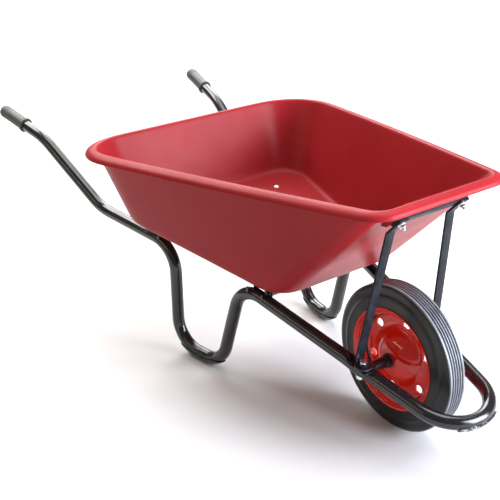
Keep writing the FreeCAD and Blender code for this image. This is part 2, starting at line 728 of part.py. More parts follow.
def strap(points, across):
    """A flat bar bent at each point. across holds the width direction of each run."""
    solid = None
    for i in range(len(points) - 1):
        along = unit(points[i + 1] - points[i])
        side_way = unit(across[i] - along * across[i].dot(along))
        length = (points[i + 1] - points[i]).Length
        middle = (points[i] + points[i + 1]) * 0.5
        run = block(middle, along, side_way, length, STAY_WIDTH, STAY_THICK)
        solid = run if solid is None else solid.fuse(run)
    for i in range(1, len(points) - 1):
        way = unit(across[i - 1] + across[i])
        bend = Part.makeCylinder(STAY_THICK / 2, STAY_WIDTH, points[i] - way * (STAY_WIDTH / 2), way)
        solid = solid.fuse(bend)
    return solid


def stay(side):
    out = LEDGE_THICK + 0.1 + LIP_BAR_THICK + STAY_THICK / 2 + 0.05
    foot_up = SEAT_HEIGHT + TONGUE_THICK + STAY_THICK / 2
    top = wall_point(side * STAY_TOP_Y, STAY_TOP_RUN, out)
    kink = wall_point(side * STAY_TOP_Y, STAY_KINK_RUN, out)
    heel = seat_point(side, -FOOT_BACK, foot_up)
    toe = seat_point(side, 0, foot_up)
    across = V(0, 1, 0)
    bar = strap([top, kink, heel, toe], [across, across, across])
    bar = bar.fuse(Part.makeCylinder(STAY_WIDTH / 2, STAY_THICK, seat_point(side, 0, foot_up - STAY_THICK / 2), SEAT_UP))
    hole_start = wall_point(side * STAY_TOP_Y, LIP_BOLT_RUN, -10)
    hole = Part.makeCylinder(M8["shank"] + BOLT_GAP, 60, hole_start, WALL_OUT)
    foot_hole = Part.makeCylinder(M10["shank"] + BOLT_GAP, 20, seat_point(side, 0, foot_up - 10), SEAT_UP)
    return bar.cut(hole).cut(foot_hole)


def lip_fasteners():
    bolts, washers, nuts = [], [], []
    inward = WALL_OUT * -1
    outside = LEDGE_THICK + LIP_BAR_THICK + STAY_THICK + 0.2
    for side in SIDES.values():
        y = side * STAY_TOP_Y
        head = wall_point(y, LIP_BOLT_RUN, -wall_thickness_along_normal() - 0.05)
        bolts.append(coach_bolt(head, inward, LIP_BOLT_LENGTH))
        washers.append(plain_washer(wall_point(y, LIP_BOLT_RUN, outside), WALL_OUT))
        nuts.append(plain_nut(wall_point(y, LIP_BOLT_RUN, outside + M8["sheet"]), WALL_OUT))
    return bolts, washers, nuts


def wall_thickness_along_normal():
    """The front wall's thickness: its two faces are stepped in X and in Z by the wall size."""
    return PAN_WALL * (WALL_OUT.x - WALL_OUT.z)


# ---------------------------------------------------------------- output

os.makedirs("parts", exist_ok=True)
save("frame_tube", frame_tube())
save("nose_shoe", nose_shoe())
save("axle", axle())
save("hub_tube", hub_tube())
save("tyre", tyre())
save("pan", pan())
save("lip_bar", lip_bar())
save("rear_crossmember", crossmember(REAR_CHANNEL_X))
save("front_crossmember", crossmember(FRONT_CHANNEL_X))
for label, hand in SIDES.items():
    save("grip_" + label, grip(hand))
    save("foot_shoe_" + label, foot_shoe(hand))
    save("wheel_disc_" + label, wheel_disc(hand))
    save("bush_" + label, bush(hand))
    save("stay_" + label, stay(hand))
save("axle_collars", *[axle_collar(hand) for hand in SIDES.values()])
save("axle_bolts", *[axle_bolt(hand) for hand in SIDES.values()])
save("axle_bolt_washers", *[axle_bolt_washer(hand) for hand in SIDES.values()])
save("axle_nuts", *[axle_nut(hand) for hand in SIDES.values()])
pan_bolts, pan_washers, pan_nuts = pan_fasteners()
save("pan_bolts", *pan_bolts)
save("pan_washers", *pan_washers)
save("pan_nuts", *pan_nuts)
lip_bolts, lip_washers, lip_nuts = lip_fasteners()
save("lip_bolts", *lip_bolts)
save("lip_washers", *lip_washers)
save("lip_nuts", *lip_nuts)
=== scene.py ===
# %% [markdown]
# # A builder's wheelbarrow
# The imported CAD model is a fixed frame: it says where every part is and what turns. This script
# keeps those places and makes the surfaces that a person sees: the moulded pan, the bent and
# pressed tube, the ribbed tyre, the stamped wheel discs and the plated bolts.

# %% Load the frame
import math
import bpy
import bmesh
from mathutils import Matrix, Vector


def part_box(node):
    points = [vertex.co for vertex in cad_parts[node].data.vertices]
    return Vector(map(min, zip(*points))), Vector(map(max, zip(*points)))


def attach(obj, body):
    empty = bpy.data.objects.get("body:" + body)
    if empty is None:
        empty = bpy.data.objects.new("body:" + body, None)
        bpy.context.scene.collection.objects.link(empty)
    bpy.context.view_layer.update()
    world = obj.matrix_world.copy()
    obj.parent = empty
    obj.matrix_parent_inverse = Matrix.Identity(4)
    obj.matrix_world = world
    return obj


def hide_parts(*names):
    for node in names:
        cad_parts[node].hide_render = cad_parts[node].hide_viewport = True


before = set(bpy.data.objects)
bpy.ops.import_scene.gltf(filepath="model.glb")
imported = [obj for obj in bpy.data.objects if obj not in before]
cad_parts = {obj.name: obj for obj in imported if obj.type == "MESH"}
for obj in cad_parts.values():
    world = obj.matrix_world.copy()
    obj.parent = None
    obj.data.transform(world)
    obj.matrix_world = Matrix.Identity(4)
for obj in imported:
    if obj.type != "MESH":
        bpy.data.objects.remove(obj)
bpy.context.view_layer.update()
scene = bpy.context.scene
scene.view_settings.view_transform = "Standard"
MM = 0.001
ACROSS = Vector((0, 1, 0))
SIDES = (1, -1)
wheel_low, wheel_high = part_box("tyre")
WHEEL_CENTRE = (wheel_low + wheel_high) / 2
WHEEL_RADIUS = (wheel_high.z - wheel_low.z) / 2
print("wheel centre", [round(c, 4) for c in WHEEL_CENTRE], "radius", round(WHEEL_RADIUS, 4))

# %% [markdown]
# ## Camera
# A long lens from a little above shows the whole barrow without stretching the wheel, which is
# nearest. Its place and turn are set once, so every change is judged from the same spot.

# %% Camera
CAMERA_AT = Vector((1947.8, -1451.0, 1361.5)) * MM
CAMERA_YAW = math.radians(143.77)
CAMERA_DOWN = math.radians(24.59)
CAMERA_ROLL = math.radians(-1.08)
LENS_OVER_SENSOR = 2.0108
SENSOR = 36.0


def camera_axes():
    """The camera's right, up and backward directions."""
    forward = Vector((
        math.cos(CAMERA_DOWN) * math.cos(CAMERA_YAW),
        math.cos(CAMERA_DOWN) * math.sin(CAMERA_YAW),
        -math.sin(CAMERA_DOWN)))
    level = Vector((math.sin(CAMERA_YAW), -math.cos(CAMERA_YAW), 0.0))
    lift = level.cross(forward)
    right = level * math.cos(CAMERA_ROLL) + lift * math.sin(CAMERA_ROLL)
    up = lift * math.cos(CAMERA_ROLL) - level * math.sin(CAMERA_ROLL)
    return right, up, -forward


camera_data = bpy.data.cameras.new("camera")
camera_data.sensor_width = SENSOR
camera_data.lens = SENSOR * LENS_OVER_SENSOR
camera = bpy.data.objects.new("camera", camera_data)
scene.collection.objects.link(camera)
camera.matrix_world = Matrix.Translation(CAMERA_AT) @ Matrix(camera_axes()).transposed().to_4x4()
scene.camera = camera
print("lens", round(camera_data.lens, 1), "mm")

# %% [markdown]
# ## Floor and light
# Gloss paint shows only what it reflects, so the lights are large soft panels: a cool one in
# front of the nose, as a wide doorway would be, a broad one overhead, a skylight and a window
# behind the handles that put the sheen on the lip, and a narrow warm one beside the handles
# that draws the long streak down the black tube. One more lights only the floor far behind.
# The surroundings stay dim, so black is black.

# %% Floor
FLOOR_HALF = 14.0
FLOOR_GREY = (0.60, 0.60, 0.60)


def lay_floor():
    """One flat sheet of matt grey, which isn't part of the barrow."""
    paint = bpy.data.materials.new("floor_paint")
    paint.use_nodes = True
    shader = paint.node_tree.nodes["Principled BSDF"]
    shader.inputs["Base Color"].default_value = (*FLOOR_GREY, 1)
    shader.inputs["Roughness"].default_value = 0.9
    bm = bmesh.new()
    bmesh.ops.create_grid(bm, x_segments=1, y_segments=1, size=FLOOR_HALF)
    mesh = bpy.data.meshes.new("floor")
    bm.to_mesh(mesh)
    bm.free()
    mesh.materials.append(paint)
    floor = bpy.data.objects.new("floor", mesh)
    scene.collection.objects.link(floor)


lay_floor()
print("floor", 2 * FLOOR_HALF, "m across")

# %% Light panels
WORLD_STRENGTH = 0.25
PANELS = (
    ("doorway", (2.9, 1.5, 1.3), (0.3, 0.0, 0.35), (2.0, 2.2), 340, (0.86, 0.89, 1.0)),
    ("overhead", (-0.3, 0.7, 3.6), (0.0, 0.2, 0.3), (3.2, 2.6), 130, (1.0, 0.99, 0.97)),
    ("skylight", (-2.7, -0.7, 3.1), (0.0, -0.3, 0.5), (2.2, 1.6), 120, (1.0, 0.97, 0.94)),
    ("window", (-3.0, 1.9, 2.1), (0.0, 0.0, 0.5), (3.4, 1.7), 60, (1.0, 0.97, 0.96)),
    ("far_floor", (-4.6, 3.4, 4.6), (-4.6, 3.4, 0.0), (4.0, 4.0), 420, (1.0, 1.0, 1.0)),
    ("warm_strip", (-0.2, -2.6, 1.5), (0.1, 0.0, 0.3), (2.2, 0.12), 11, (1.0, 0.76, 0.45)))


def panel(name, place, aim, size, watts, colour):
    """A soft rectangular light that faces a point."""
    data = bpy.data.lights.new(name, "AREA")
    data.shape = "RECTANGLE"
    data.size, data.size_y = size
    data.energy = watts
    data.color = colour
    lamp = bpy.data.objects.new(name, data)
    scene.collection.objects.link(lamp)
    lamp.location = place
    lamp.rotation_euler = (Vector(aim) - Vector(place)).to_track_quat("-Z", "Y").to_euler()


world = bpy.data.worlds.new("studio")
scene.world = world
world.use_nodes = True
sky = world.node_tree.nodes["Background"]
sky.inputs["Color"].default_value = (1, 1, 1, 1)
sky.inputs["Strength"].default_value = WORLD_STRENGTH
for values in PANELS:
    panel(*values)
print("lights:", [values[0] for values in PANELS])

# %% [markdown]
# ## Finishes
# Each finish is a few layers on one shader: a colour that drifts a little, a roughness that is
# broken by dust and rubbing, and a fine bump for the surface itself. The patterns read Object
# coordinates, so they stay on the part when the wheel turns.

# %% Finish tools
class Finish:
    """A node material with helpers that add one layer at a time."""

    def __init__(self, name, colour, roughness, metallic=0.0):
        self.material = bpy.data.materials.new(name)
        self.material.use_nodes = True
        self.tree = self.material.node_tree
        self.shader = self.tree.nodes["Principled BSDF"]
        self.shader.inputs["Base Color"].default_value = (*colour, 1)
        self.shader.inputs["Roughness"].default_value = roughness
        self.shader.inputs["Metallic"].default_value = metallic
        self.place = self.tree.nodes.new("ShaderNodeTexCoord").outputs["Object"]

    def node(self, kind, **values):
        made = self.tree.nodes.new(kind)
        for key, value in values.items():
            setattr(made, key, value)
        return made

    def link(self, source, target):
        self.tree.links.new(source, target)

    def noise(self, scale, detail=3.0, stretch=None, distortion=0.0):
        """A soft noise pattern, from 0 to 1."""
        made = self.node("ShaderNodeTexNoise")
        made.inputs["Scale"].default_value = scale
        made.inputs["Detail"].default_value = detail
        made.inputs["Distortion"].default_value = distortion
        source = self.place
        if stretch:
            mapping = self.node("ShaderNodeMapping")
            mapping.inputs["Scale"].default_value = stretch
            self.link(self.place, mapping.inputs["Vector"])
            source = mapping.outputs["Vector"]
        self.link(source, made.inputs["Vector"])
        return made.outputs["Fac"]

    def cells(self, scale):
        """A pattern of small rounded cells."""
        made = self.node("ShaderNodeTexVoronoi")
        made.inputs["Scale"].default_value = scale
        self.link(self.place, made.inputs["Vector"])
        return made.outputs["Distance"]

    def ramp(self, source, low, high, low_value=0.0, high_value=1.0):
        """Stretches a pattern between two of its values."""
        made = self.node("ShaderNodeMapRange")
        made.inputs["From Min"].default_value = low
        made.inputs["From Max"].default_value = high
        made.inputs["To Min"].default_value = low_value
        made.inputs["To Max"].default_value = high_value
        self.link(source, made.inputs["Value"])
        return made.outputs["Result"]

    def combine(self, operation, first, second):
        """Two patterns, or a pattern and a number, in one sum."""
        made = self.node("ShaderNodeMath", operation=operation)
        self.link(first, made.inputs[0])
        if isinstance(second, float):
            made.inputs[1].default_value = second
        else:
            self.link(second, made.inputs[1])
        return made.outputs["Value"]

    def colours(self, mask, low, high):
        """Two colours mixed by a mask."""
        made = self.node("ShaderNodeMix", data_type="RGBA")
        self.link(mask, made.inputs["Factor"])
        first, second = (socket for socket in made.inputs if socket.type == "RGBA")
        for socket, value in ((first, low), (second, high)):
            if isinstance(value, tuple):
                socket.default_value = (*value, 1)
            else:
                self.link(value, socket)
        return next(socket for socket in made.outputs if socket.type == "RGBA")

    def from_axle(self):
        """How far each point lies from the wheel's axle, in metres."""
        mapping = self.node("ShaderNodeMapping", vector_type="POINT")
        mapping.inputs["Location"].default_value = (-WHEEL_CENTRE.x, 0.0, -WHEEL_CENTRE.z)
        mapping.inputs["Scale"].default_value = (1.0, 0.0, 1.0)
        self.link(self.place, mapping.inputs["Vector"])
        made = self.node("ShaderNodeVectorMath", operation="LENGTH")
        self.link(mapping.outputs["Vector"], made.inputs[0])
        return made.outputs["Value"]

    def bump(self, *layers):
        """Layers of (pattern, depth in metres) as one bump."""
        normal = None
        for pattern, depth in layers:
            made = self.node("ShaderNodeBump")
            made.inputs["Distance"].default_value = depth
            self.link(pattern, made.inputs["Height"])
            if normal:
                self.link(normal, made.inputs["Normal"])
            normal = made.outputs["Normal"]
        self.link(normal, self.shader.inputs["Normal"])

    def paint(self, colour, roughness, metallic=None):
        """Patterns for the shader's colour and roughness, and for where bare metal shows."""
        self.link(colour, self.shader.inputs["Base Color"])
        self.link(roughness, self.shader.inputs["Roughness"])
        if metallic:
            self.link(metallic, self.shader.inputs["Metallic"])

    def gloss(self, coat=0.0, coat_roughness=0.1, specular=0.5):
        """A clear coat and the strength of the reflections, the same all over."""
        self.shader.inputs["Coat Weight"].default_value = coat
        self.shader.inputs["Coat Roughness"].default_value = coat_roughness
        self.shader.inputs["Specular IOR Level"].default_value = specular


# %% [markdown]
# The pan is moulded in red plastic. The mould has a fine leather grain, which scatters the
# light so that the wall looks paler where it faces a bright doorway. Colour drifts slowly from
# mixing in the melt, and fine dust and rubbing change only the roughness.

# %% Pan finish
PAN_RED = (0.28, 0.015, 0.019)
PAN_RED_DEEP = (0.225, 0.011, 0.014)
PAN_RED_GRAIN = (0.40, 0.035, 0.042)


def pan_finish():
    """Grained red plastic with slow drifts of colour."""
    made = Finish("pan_plastic", PAN_RED, 0.4)
    drift = made.ramp(made.noise(3.0, 4.0), 0.35, 0.68)
    speckle = made.ramp(made.noise(520.0, 2.0), 0.42, 0.66)
    base = made.colours(drift, PAN_RED_DEEP, PAN_RED)
    grainy = made.colours(made.combine("MULTIPLY", speckle, 0.30), base, PAN_RED_GRAIN)
    rubbed = made.ramp(made.noise(11.0, 6.0, distortion=0.6), 0.40, 0.72, 0.29, 0.37)
    made.paint(grainy, rubbed)
    made.bump((made.cells(620.0), 0.00010), (made.noise(1300.0, 2.0), 0.00006))
    made.gloss(specular=0.08)
    return made.material


pan_plastic = pan_finish()
print("pan finish:", len(pan_plastic.node_tree.nodes), "nodes")

# %% [markdown]
# The tube is dipped in black gloss. Sprayed and dipped paint has a slow ripple, the orange peel,
# and picks up grey scratches and a dusty film. Where the frame stands on the ground and where it
# tips over its nose, the paint is worn to bright steel.

# %% Black paint
BLACK = (0.006, 0.006, 0.008)
DUST = (0.105, 0.095, 0.080)
SCRATCH = (0.12, 0.115, 0.11)
BARE_STEEL = (0.62, 0.62, 0.64)


def black_paint(name, worn=0.0, smooth=0.12, rough_most=0.34):
    """Black paint. worn is how much of it is rubbed through, from 0 to 1."""
    made = Finish(name, BLACK, 0.16)
    film = made.ramp(made.noise(7.0, 6.0, distortion=0.4), 0.50, 0.85, 0.0, 0.22)
    scratches = made.ramp(made.noise(60.0, 5.0, stretch=(0.25, 1.0, 2.4)), 0.66, 0.74)
    base = made.colours(film, BLACK, DUST)
    scratched = made.colours(made.combine("MULTIPLY", scratches, 0.2), base, SCRATCH)
    rough = made.ramp(made.noise(16.0, 5.0), 0.38, 0.75, smooth, rough_most)
    made.paint(scratched, rough)
    if worn:
        patch = made.noise(48.0, 7.0, stretch=(0.5, 1.6, 1.0), distortion=0.8)
        edge = 0.70 - 0.32 * worn
        mask = made.ramp(patch, edge, edge + 0.06)
        metal = made.colours(mask, scratched, BARE_STEEL)
        made.paint(metal, made.combine("ADD", rough, made.combine("MULTIPLY", mask, 0.12)), mask)
    made.bump((made.noise(130.0, 2.0), 0.00022), (scratches, -0.00004))
    made.gloss(coat=0.25, coat_roughness=0.06)
    return made.material


frame_paint = black_paint("frame_gloss_black")
worn_paint = black_paint("worn_gloss_black", worn=0.25)
nose_paint = black_paint("scuffed_gloss_black", worn=0.62)
axle_paint = black_paint("axle_satin_black", smooth=0.34, rough_most=0.5)
print("black paints made")

# %% Stay paint
STAY_DARK = (0.007, 0.008, 0.010)
STAY_GREY = (0.020, 0.023, 0.029)
STAY_STREAK = (0.06, 0.067, 0.08)


def stay_finish():
    """Flat bar painted satin black-grey, with a mill grain under the paint."""
    made = Finish("stay_satin", STAY_GREY, 0.36)
    cloud = made.ramp(made.noise(26.0, 6.0, distortion=0.5), 0.36, 0.72)
    streak = made.ramp(made.noise(90.0, 4.0, stretch=(1.0, 3.0, 0.2)), 0.58, 0.78)
    base = made.colours(cloud, STAY_DARK, STAY_GREY)
    streaked = made.colours(made.combine("MULTIPLY", streak, 0.4), base, STAY_STREAK)
    made.paint(streaked, made.ramp(cloud, 0.0, 1.0, 0.36, 0.52))
    made.bump((made.noise(160.0, 4.0), 0.0002))
    made.gloss(specular=0.09)
    return made.material


stay_satin = stay_finish()
print("stay finish made")

# %% [markdown]
# The wheel discs are stamped steel with bright red gloss. The press leaves the sheet slightly wavy,
# which breaks reflections on the dome into patches, and patches of grime darken the red.

# %% Wheel finishes
WHEEL_RED = (0.74, 0.018, 0.006)
WHEEL_RED_DEEP = (0.60, 0.012, 0.005)
WHEEL_GRIME = (0.23, 0.018, 0.012)


def disc_finish():
    """Red gloss on wavy pressed sheet, with patches of grime."""
    made = Finish("wheel_gloss_red", WHEEL_RED, 0.14)
    drift = made.ramp(made.noise(9.0, 5.0), 0.35, 0.7)
    grime = made.ramp(made.noise(34.0, 7.0, distortion=0.7), 0.66, 0.86, 0.0, 0.4)
    base = made.colours(drift, WHEEL_RED_DEEP, WHEEL_RED)
    made.paint(made.colours(grime, base, WHEEL_GRIME), made.ramp(grime, 0.0, 0.5, 0.10, 0.36))
    made.bump((made.noise(42.0, 2.0), 0.0007), (made.noise(190.0, 2.0), 0.00012))
    made.gloss(coat=0.35, coat_roughness=0.05, specular=0.35)
    return made.material


# The rib tops are painted a pale bluish grey. This is partly real scuffing and partly a painted
# reflection of the cool light in front of the nose.
TREAD_PALE_START_RADIUS = WHEEL_RADIUS - 3.7 * MM
TREAD_PALE_FULL_RADIUS = WHEEL_RADIUS - 1.3 * MM
TREAD_SCUFF_AND_SHEEN = (0.19, 0.205, 0.23)
RUBBER_DARK = (0.006, 0.006, 0.006)
RUBBER_DUSTY = (0.016, 0.015, 0.012)
RUBBER_FLECK = (0.026, 0.024, 0.020)


def tyre_finish():
    """Dusty rubber whose rib tops are pale and bluish: partly scuffing from rolling on the ground,
    partly a painted reflection of the cool light in front.
    """
    made = Finish("tyre_rubber", (0.018, 0.018, 0.018), 0.42)
    dusty = made.ramp(made.noise(13.0, 6.0, distortion=0.5), 0.42, 0.78, 0.0, 0.5)
    flecks = made.ramp(made.noise(300.0, 3.0), 0.60, 0.72, 0.0, 0.35)
    base = made.colours(dusty, RUBBER_DARK, RUBBER_DUSTY)
    speckled = made.colours(flecks, base, RUBBER_FLECK)
    ribs = made.ramp(made.from_axle(), TREAD_PALE_START_RADIUS, TREAD_PALE_FULL_RADIUS)
    # Painted reflection and scuffing together: pale bluish colour on the outermost millimetres of the
    # ribs.
    scuff_and_sheen = made.combine("MULTIPLY", ribs, made.ramp(made.noise(40.0, 5.0), 0.25, 0.6, 0.6, 1.0))
    made.paint(made.colours(scuff_and_sheen, speckled, TREAD_SCUFF_AND_SHEEN), made.ramp(dusty, 0.0, 0.5, 0.30, 0.46))
    made.bump((made.noise(420.0, 3.0), 0.00012), (made.noise(26.0, 4.0), 0.0004))
    made.gloss(specular=0.42)
    return made.material


def dark_moulding(name, colour, roughness):
    """Grips and bushes: moulded rubber or plastic with a matt grain."""
    made = Finish(name, colour, roughness)
    cloud = made.ramp(made.noise(30.0, 5.0), 0.35, 0.75)
    lighter = tuple(c * 2.1 for c in colour)
    rough = made.ramp(cloud, 0.0, 1.0, roughness - 0.08, roughness + 0.1)
    made.paint(made.colours(cloud, colour, lighter), rough)
    made.bump((made.cells(900.0), 0.00012), (made.noise(60.0, 3.0), 0.0003))
    return made.material


wheel_red = disc_finish()
tyre_rubber = tyre_finish()
grip_rubber = dark_moulding("grip_rubber", (0.034, 0.033, 0.030), 0.5)
bush_plastic = dark_moulding("bush_plastic", (0.016, 0.016, 0.017), 0.4)
print("wheel finishes made")

# %% [markdown]
# The bolts are zinc plated: bright, bluish, with a cloudy passivated film.

# %% Zinc plating
ZINC_DULL = (0.66, 0.68, 0.70)
ZINC_BRIGHT = (0.86, 0.87, 0.88)
ZINC_WARM = (0.80, 0.74, 0.60)
WELD_DARK = (0.014, 0.014, 0.015)
WELD_SCALE = (0.10, 0.094, 0.082)


def zinc_finish():
    """Bright plating with a cloudy, slightly warm film."""
    made = Finish("zinc_plate", ZINC_DULL, 0.24, 1.0)
    cloud = made.ramp(made.noise(240.0, 5.0, distortion=0.4), 0.35, 0.7)
    warm = made.ramp(made.noise(95.0, 3.0), 0.48, 0.72, 0.0, 0.45)
    base = made.colours(cloud, ZINC_DULL, ZINC_BRIGHT)
    made.paint(made.colours(warm, base, ZINC_WARM), made.ramp(cloud, 0.0, 1.0, 0.16, 0.36))
    made.bump((made.noise(900.0, 3.0), 0.00003))
    return made.material


def weld_finish():
    """Weld metal under the dipped black, with scale left on it."""
    made = Finish("weld_bead", WELD_DARK, 0.3)
    scale = made.ramp(made.noise(210.0, 5.0), 0.45, 0.7)
    made.paint(made.colours(scale, WELD_DARK, WELD_SCALE), made.ramp(scale, 0.0, 1.0, 0.16, 0.4))
    made.bump((made.noise(420.0, 4.0), 0.0002))
    made.gloss(coat=0.4, coat_roughness=0.1)
    return made.material


zinc = zinc_finish()
weld_metal = weld_finish()
print("plating and weld made")

# %% [markdown]
# ## Shop tools
# A few helpers do most of the work. A lathe spins an outline about an axis. A bender carries a
# section along straight runs with extrude and round each bend with spin, as a tube bender does.
# A finishing step merges, turns normals outwards and puts the piece on its body.

# %% Making a piece
CREASE_ANGLE = 34
MERGE_DISTANCE = 0.02 * MM


def finish_piece(bm, name, body, material, replaced=(), sharp=CREASE_ANGLE, settle=True):
    """Turns a bmesh into a piece that rides on a body and stands for CAD nodes."""
    if settle:
        bmesh.ops.remove_doubles(bm, verts=bm.verts, dist=MERGE_DISTANCE)
        bmesh.ops.recalc_face_normals(bm, faces=bm.faces)
    mesh = bpy.data.meshes.new(name)
    bm.to_mesh(mesh)
    bm.free()
    mesh.shade_smooth()
    mesh.set_sharp_from_angle(angle=math.radians(sharp))
    mesh.materials.append(material)
    piece = bpy.data.objects.new(name, mesh)
    scene.collection.objects.link(piece)
    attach(piece, body)
    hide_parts(*replaced)
    print(name, len(mesh.polygons), "faces")
    return piece


def bevel(bm, geom, width, segments, affect="EDGES", clamp=True):
    """Rounds edges or corners with an even, circular profile."""
    return bmesh.ops.bevel(
        bm, geom=geom, offset=width, offset_type="OFFSET", segments=segments, profile=0.5,
        affect=affect, material=-1, clamp_overlap=clamp)


def only_edges(made):
    return [part for part in made if isinstance(part, bmesh.types.BMEdge)]


def circle_section(bm, segments, radius, stand):
    """A ring of edges to push or bend into a round bar."""
    ring = bmesh.ops.create_circle(bm, segments=segments, radius=radius, matrix=stand)
    return list({edge for vert in ring["verts"] for edge in vert.link_edges})


# %% The lathe
def facing(axis, place):
    """A matrix that stands local +Z along an axis at a point."""
    turn = axis.to_track_quat("Z", "Y").to_matrix().to_4x4()
    return Matrix.Translation(place) @ turn


def lathe(bm, outline, place, axis, steps, closed=True):
    """Spins an outline of (radius, distance along the axis) points, in millimetres, right round."""
    stand = facing(axis, place)
    verts = [bm.verts.new(stand @ Vector((r * MM, 0, s * MM))) for r, s in outline]
    edges = [bm.edges.new(pair) for pair in zip(verts, verts[1:])]
    if closed:
        edges.append(bm.edges.new((verts[-1], verts[0])))
    bmesh.ops.spin(
        bm, geom=verts + edges, cent=place, axis=axis, angle=math.tau, steps=steps, use_merge=True)


def smooth_line(points, steps):
    """More points along a line, on a curve that passes through the given ones."""
    out = []
    last = len(points) - 1
    for i in range(last):
        near = (points[max(i - 1, 0)], points[i], points[i + 1], points[min(i + 2, last)])
        for k in range(steps):
            t = k / steps
            weights = (
                -0.5 * t + t * t - 0.5 * t ** 3, 1 - 2.5 * t * t + 1.5 * t ** 3,
                0.5 * t + 2 * t * t - 1.5 * t ** 3, -0.5 * t * t + 0.5 * t ** 3)
            out.append(tuple(sum(w * p[axis] for w, p in zip(weights, near)) for axis in (0, 1)))
    out.append(points[-1])
    return out


# %% The bender
BEND_STEP = math.radians(5)


def between(low, high, t):
    return low + (high - low) * t


def smooth_step(t):
    """Eases from 0 to 1, level at both ends."""
    t = min(max(t, 0.0), 1.0)
    return t * t * (3 - 2 * t)


def open_edges(bm):
    return [e for e in bm.edges if len(e.link_faces) < 2]


def push(bm, edges, move, steps=1):
    """Extrudes a section's edges by a move, in equal steps."""
    for _ in range(steps):
        made = bmesh.ops.extrude_edge_only(bm, edges=edges)["geom"]
        verts = [part for part in made if isinstance(part, bmesh.types.BMVert)]
        edges = [edge for edge in only_edges(made) if all(v in verts for v in edge.verts)]
        bmesh.ops.translate(bm, verts=verts, vec=move / steps)
    return edges


def bend_round(bm, edges, centre, axis, turn):
    """Spins a section's edges about the centre of a bend."""
    verts = list({v for e in edges for v in e.verts})
    steps = max(3, round(turn / BEND_STEP))
    made = bmesh.ops.spin(bm, geom=verts + edges, cent=centre, axis=axis, angle=turn, steps=steps)
    return only_edges(made["geom_last"])


def follow(bm, edges, corners, radii, run):
    """Carries a section from corner to corner, extruded in steps of run and spun round bends."""
    place = corners[0]
    for i, radius in enumerate(radii):
        corner = corners[i + 1]
        back = (corners[i] - corner).normalized()
        on = (corners[i + 2] - corner).normalized()
        half = back.angle(on) / 2
        reach = radius / math.tan(half)
        straight = corner + back * reach - place
        edges = push(bm, edges, straight, max(1, round(straight.length / run)))
        centre = corner + (back + on).normalized() * (radius / math.sin(half))
        edges = bend_round(bm, edges, centre, (-back).cross(on).normalized(), math.pi - 2 * half)
        place = corner + on * reach
    straight = corners[-1] - place
    return push(bm, edges, straight, max(1, round(straight.length / run)))


def close_ends(bm):
    """Fills the open ends of a swept bar."""
    bmesh.ops.holes_fill(bm, edges=open_edges(bm))


print("tools ready")

# %% [markdown]
# ## The bent tube
# One length of 32 mm tube makes both handles, both legs and the bow round the wheel. It could be
# a curve with a round bevel, but a section that is pushed and spun is what the bender does, and
# its rings stay square to the tube. At the axle, a press squashes the top of each side into a
# flat seat. The corner points are the design's, in millimetres, in each side's upright plane.

# %% Tube sizes
TUBE_RADIUS = 16 * MM
SEAT_HALF_SPACING = 118 * MM
SEAT_TUBE_Z = 186 * MM
TUBE_TAPER = 0.1587
FRONT_SLOPE = 0.2321
BOW_RADIUS = 93.5 * MM
SEAT_HEIGHT = 6 * MM
SEAT_ALONG = Vector((1, 0, -FRONT_SLOPE)).normalized()
SEAT_UP = Vector((FRONT_SLOPE, 0, 1)).normalized()
SIDE_CORNERS = ((-791, 513), (-606, 471), (-362, 324), (-67, 297), (-67, 18), (96, 18))
SIDE_RADII = (200, 150, 80, 75, 75, 72)
HUMP_X = 170.5 * MM
MEETING_X = WHEEL_CENTRE.x + SEAT_HALF_SPACING / TUBE_TAPER


def tube_side(x, z, side):
    """A point on one side's centreline."""
    return Vector((x, side * (SEAT_HALF_SPACING + TUBE_TAPER * (WHEEL_CENTRE.x - x)), z))


def front_z(x):
    """The height of the centreline, from the hump down to the bow."""
    return SEAT_TUBE_Z + FRONT_SLOPE * (WHEEL_CENTRE.x - x)


def side_points(side):
    """The corners of one side's centreline, from the handle's end to the hump."""
    points = [tube_side(x * MM, z * MM, side) for x, z in SIDE_CORNERS]
    points.append(tube_side(HUMP_X, front_z(HUMP_X), side))
    return points


def seat_point(side, along, up):
    """A point at an axle seat, measured along and above the tube's centre."""
    seat = Vector((WHEEL_CENTRE.x, side * SEAT_HALF_SPACING, SEAT_TUBE_Z))
    return seat + SEAT_ALONG * along + SEAT_UP * up


SIDES_MEET = Vector((MEETING_X, 0, front_z(MEETING_X)))
print("axle seat", [round(c, 4) for c in seat_point(1, 0, SEAT_HEIGHT)])

# %% Bend the tube
SEAT_HALF = 20 * MM
SEAT_RAMP = 26 * MM
SEAT_SPREAD = 0.16
ABOVE_TUBE = 1.02 * TUBE_RADIUS
BELOW_TUBE = -1.2 * TUBE_RADIUS
TUBE_SEGMENTS = 40
TUBE_STEP = 6 * MM


def press_seat(bm, side):
    """Squashes the top of the tube to a flat seat with smooth ramps."""
    centre = seat_point(side, 0, 0)
    for vert in bm.verts:
        offset = vert.co - centre
        along = offset.dot(SEAT_ALONG)
        up = offset.dot(SEAT_UP)
        beside = vert.co.y - side * (SEAT_HALF_SPACING - TUBE_TAPER * along)
        ramp = (abs(along) - SEAT_HALF) / SEAT_RAMP
        if ramp >= 1 or abs(beside) > 2 * TUBE_RADIUS or up < BELOW_TUBE:
            continue
        ease = smooth_step(ramp)
        limit = between(SEAT_HEIGHT, ABOVE_TUBE, ease)
        if up > limit:
            vert.co -= SEAT_UP * (up - limit)
        vert.co.y += beside * SEAT_SPREAD * (1 - ease)


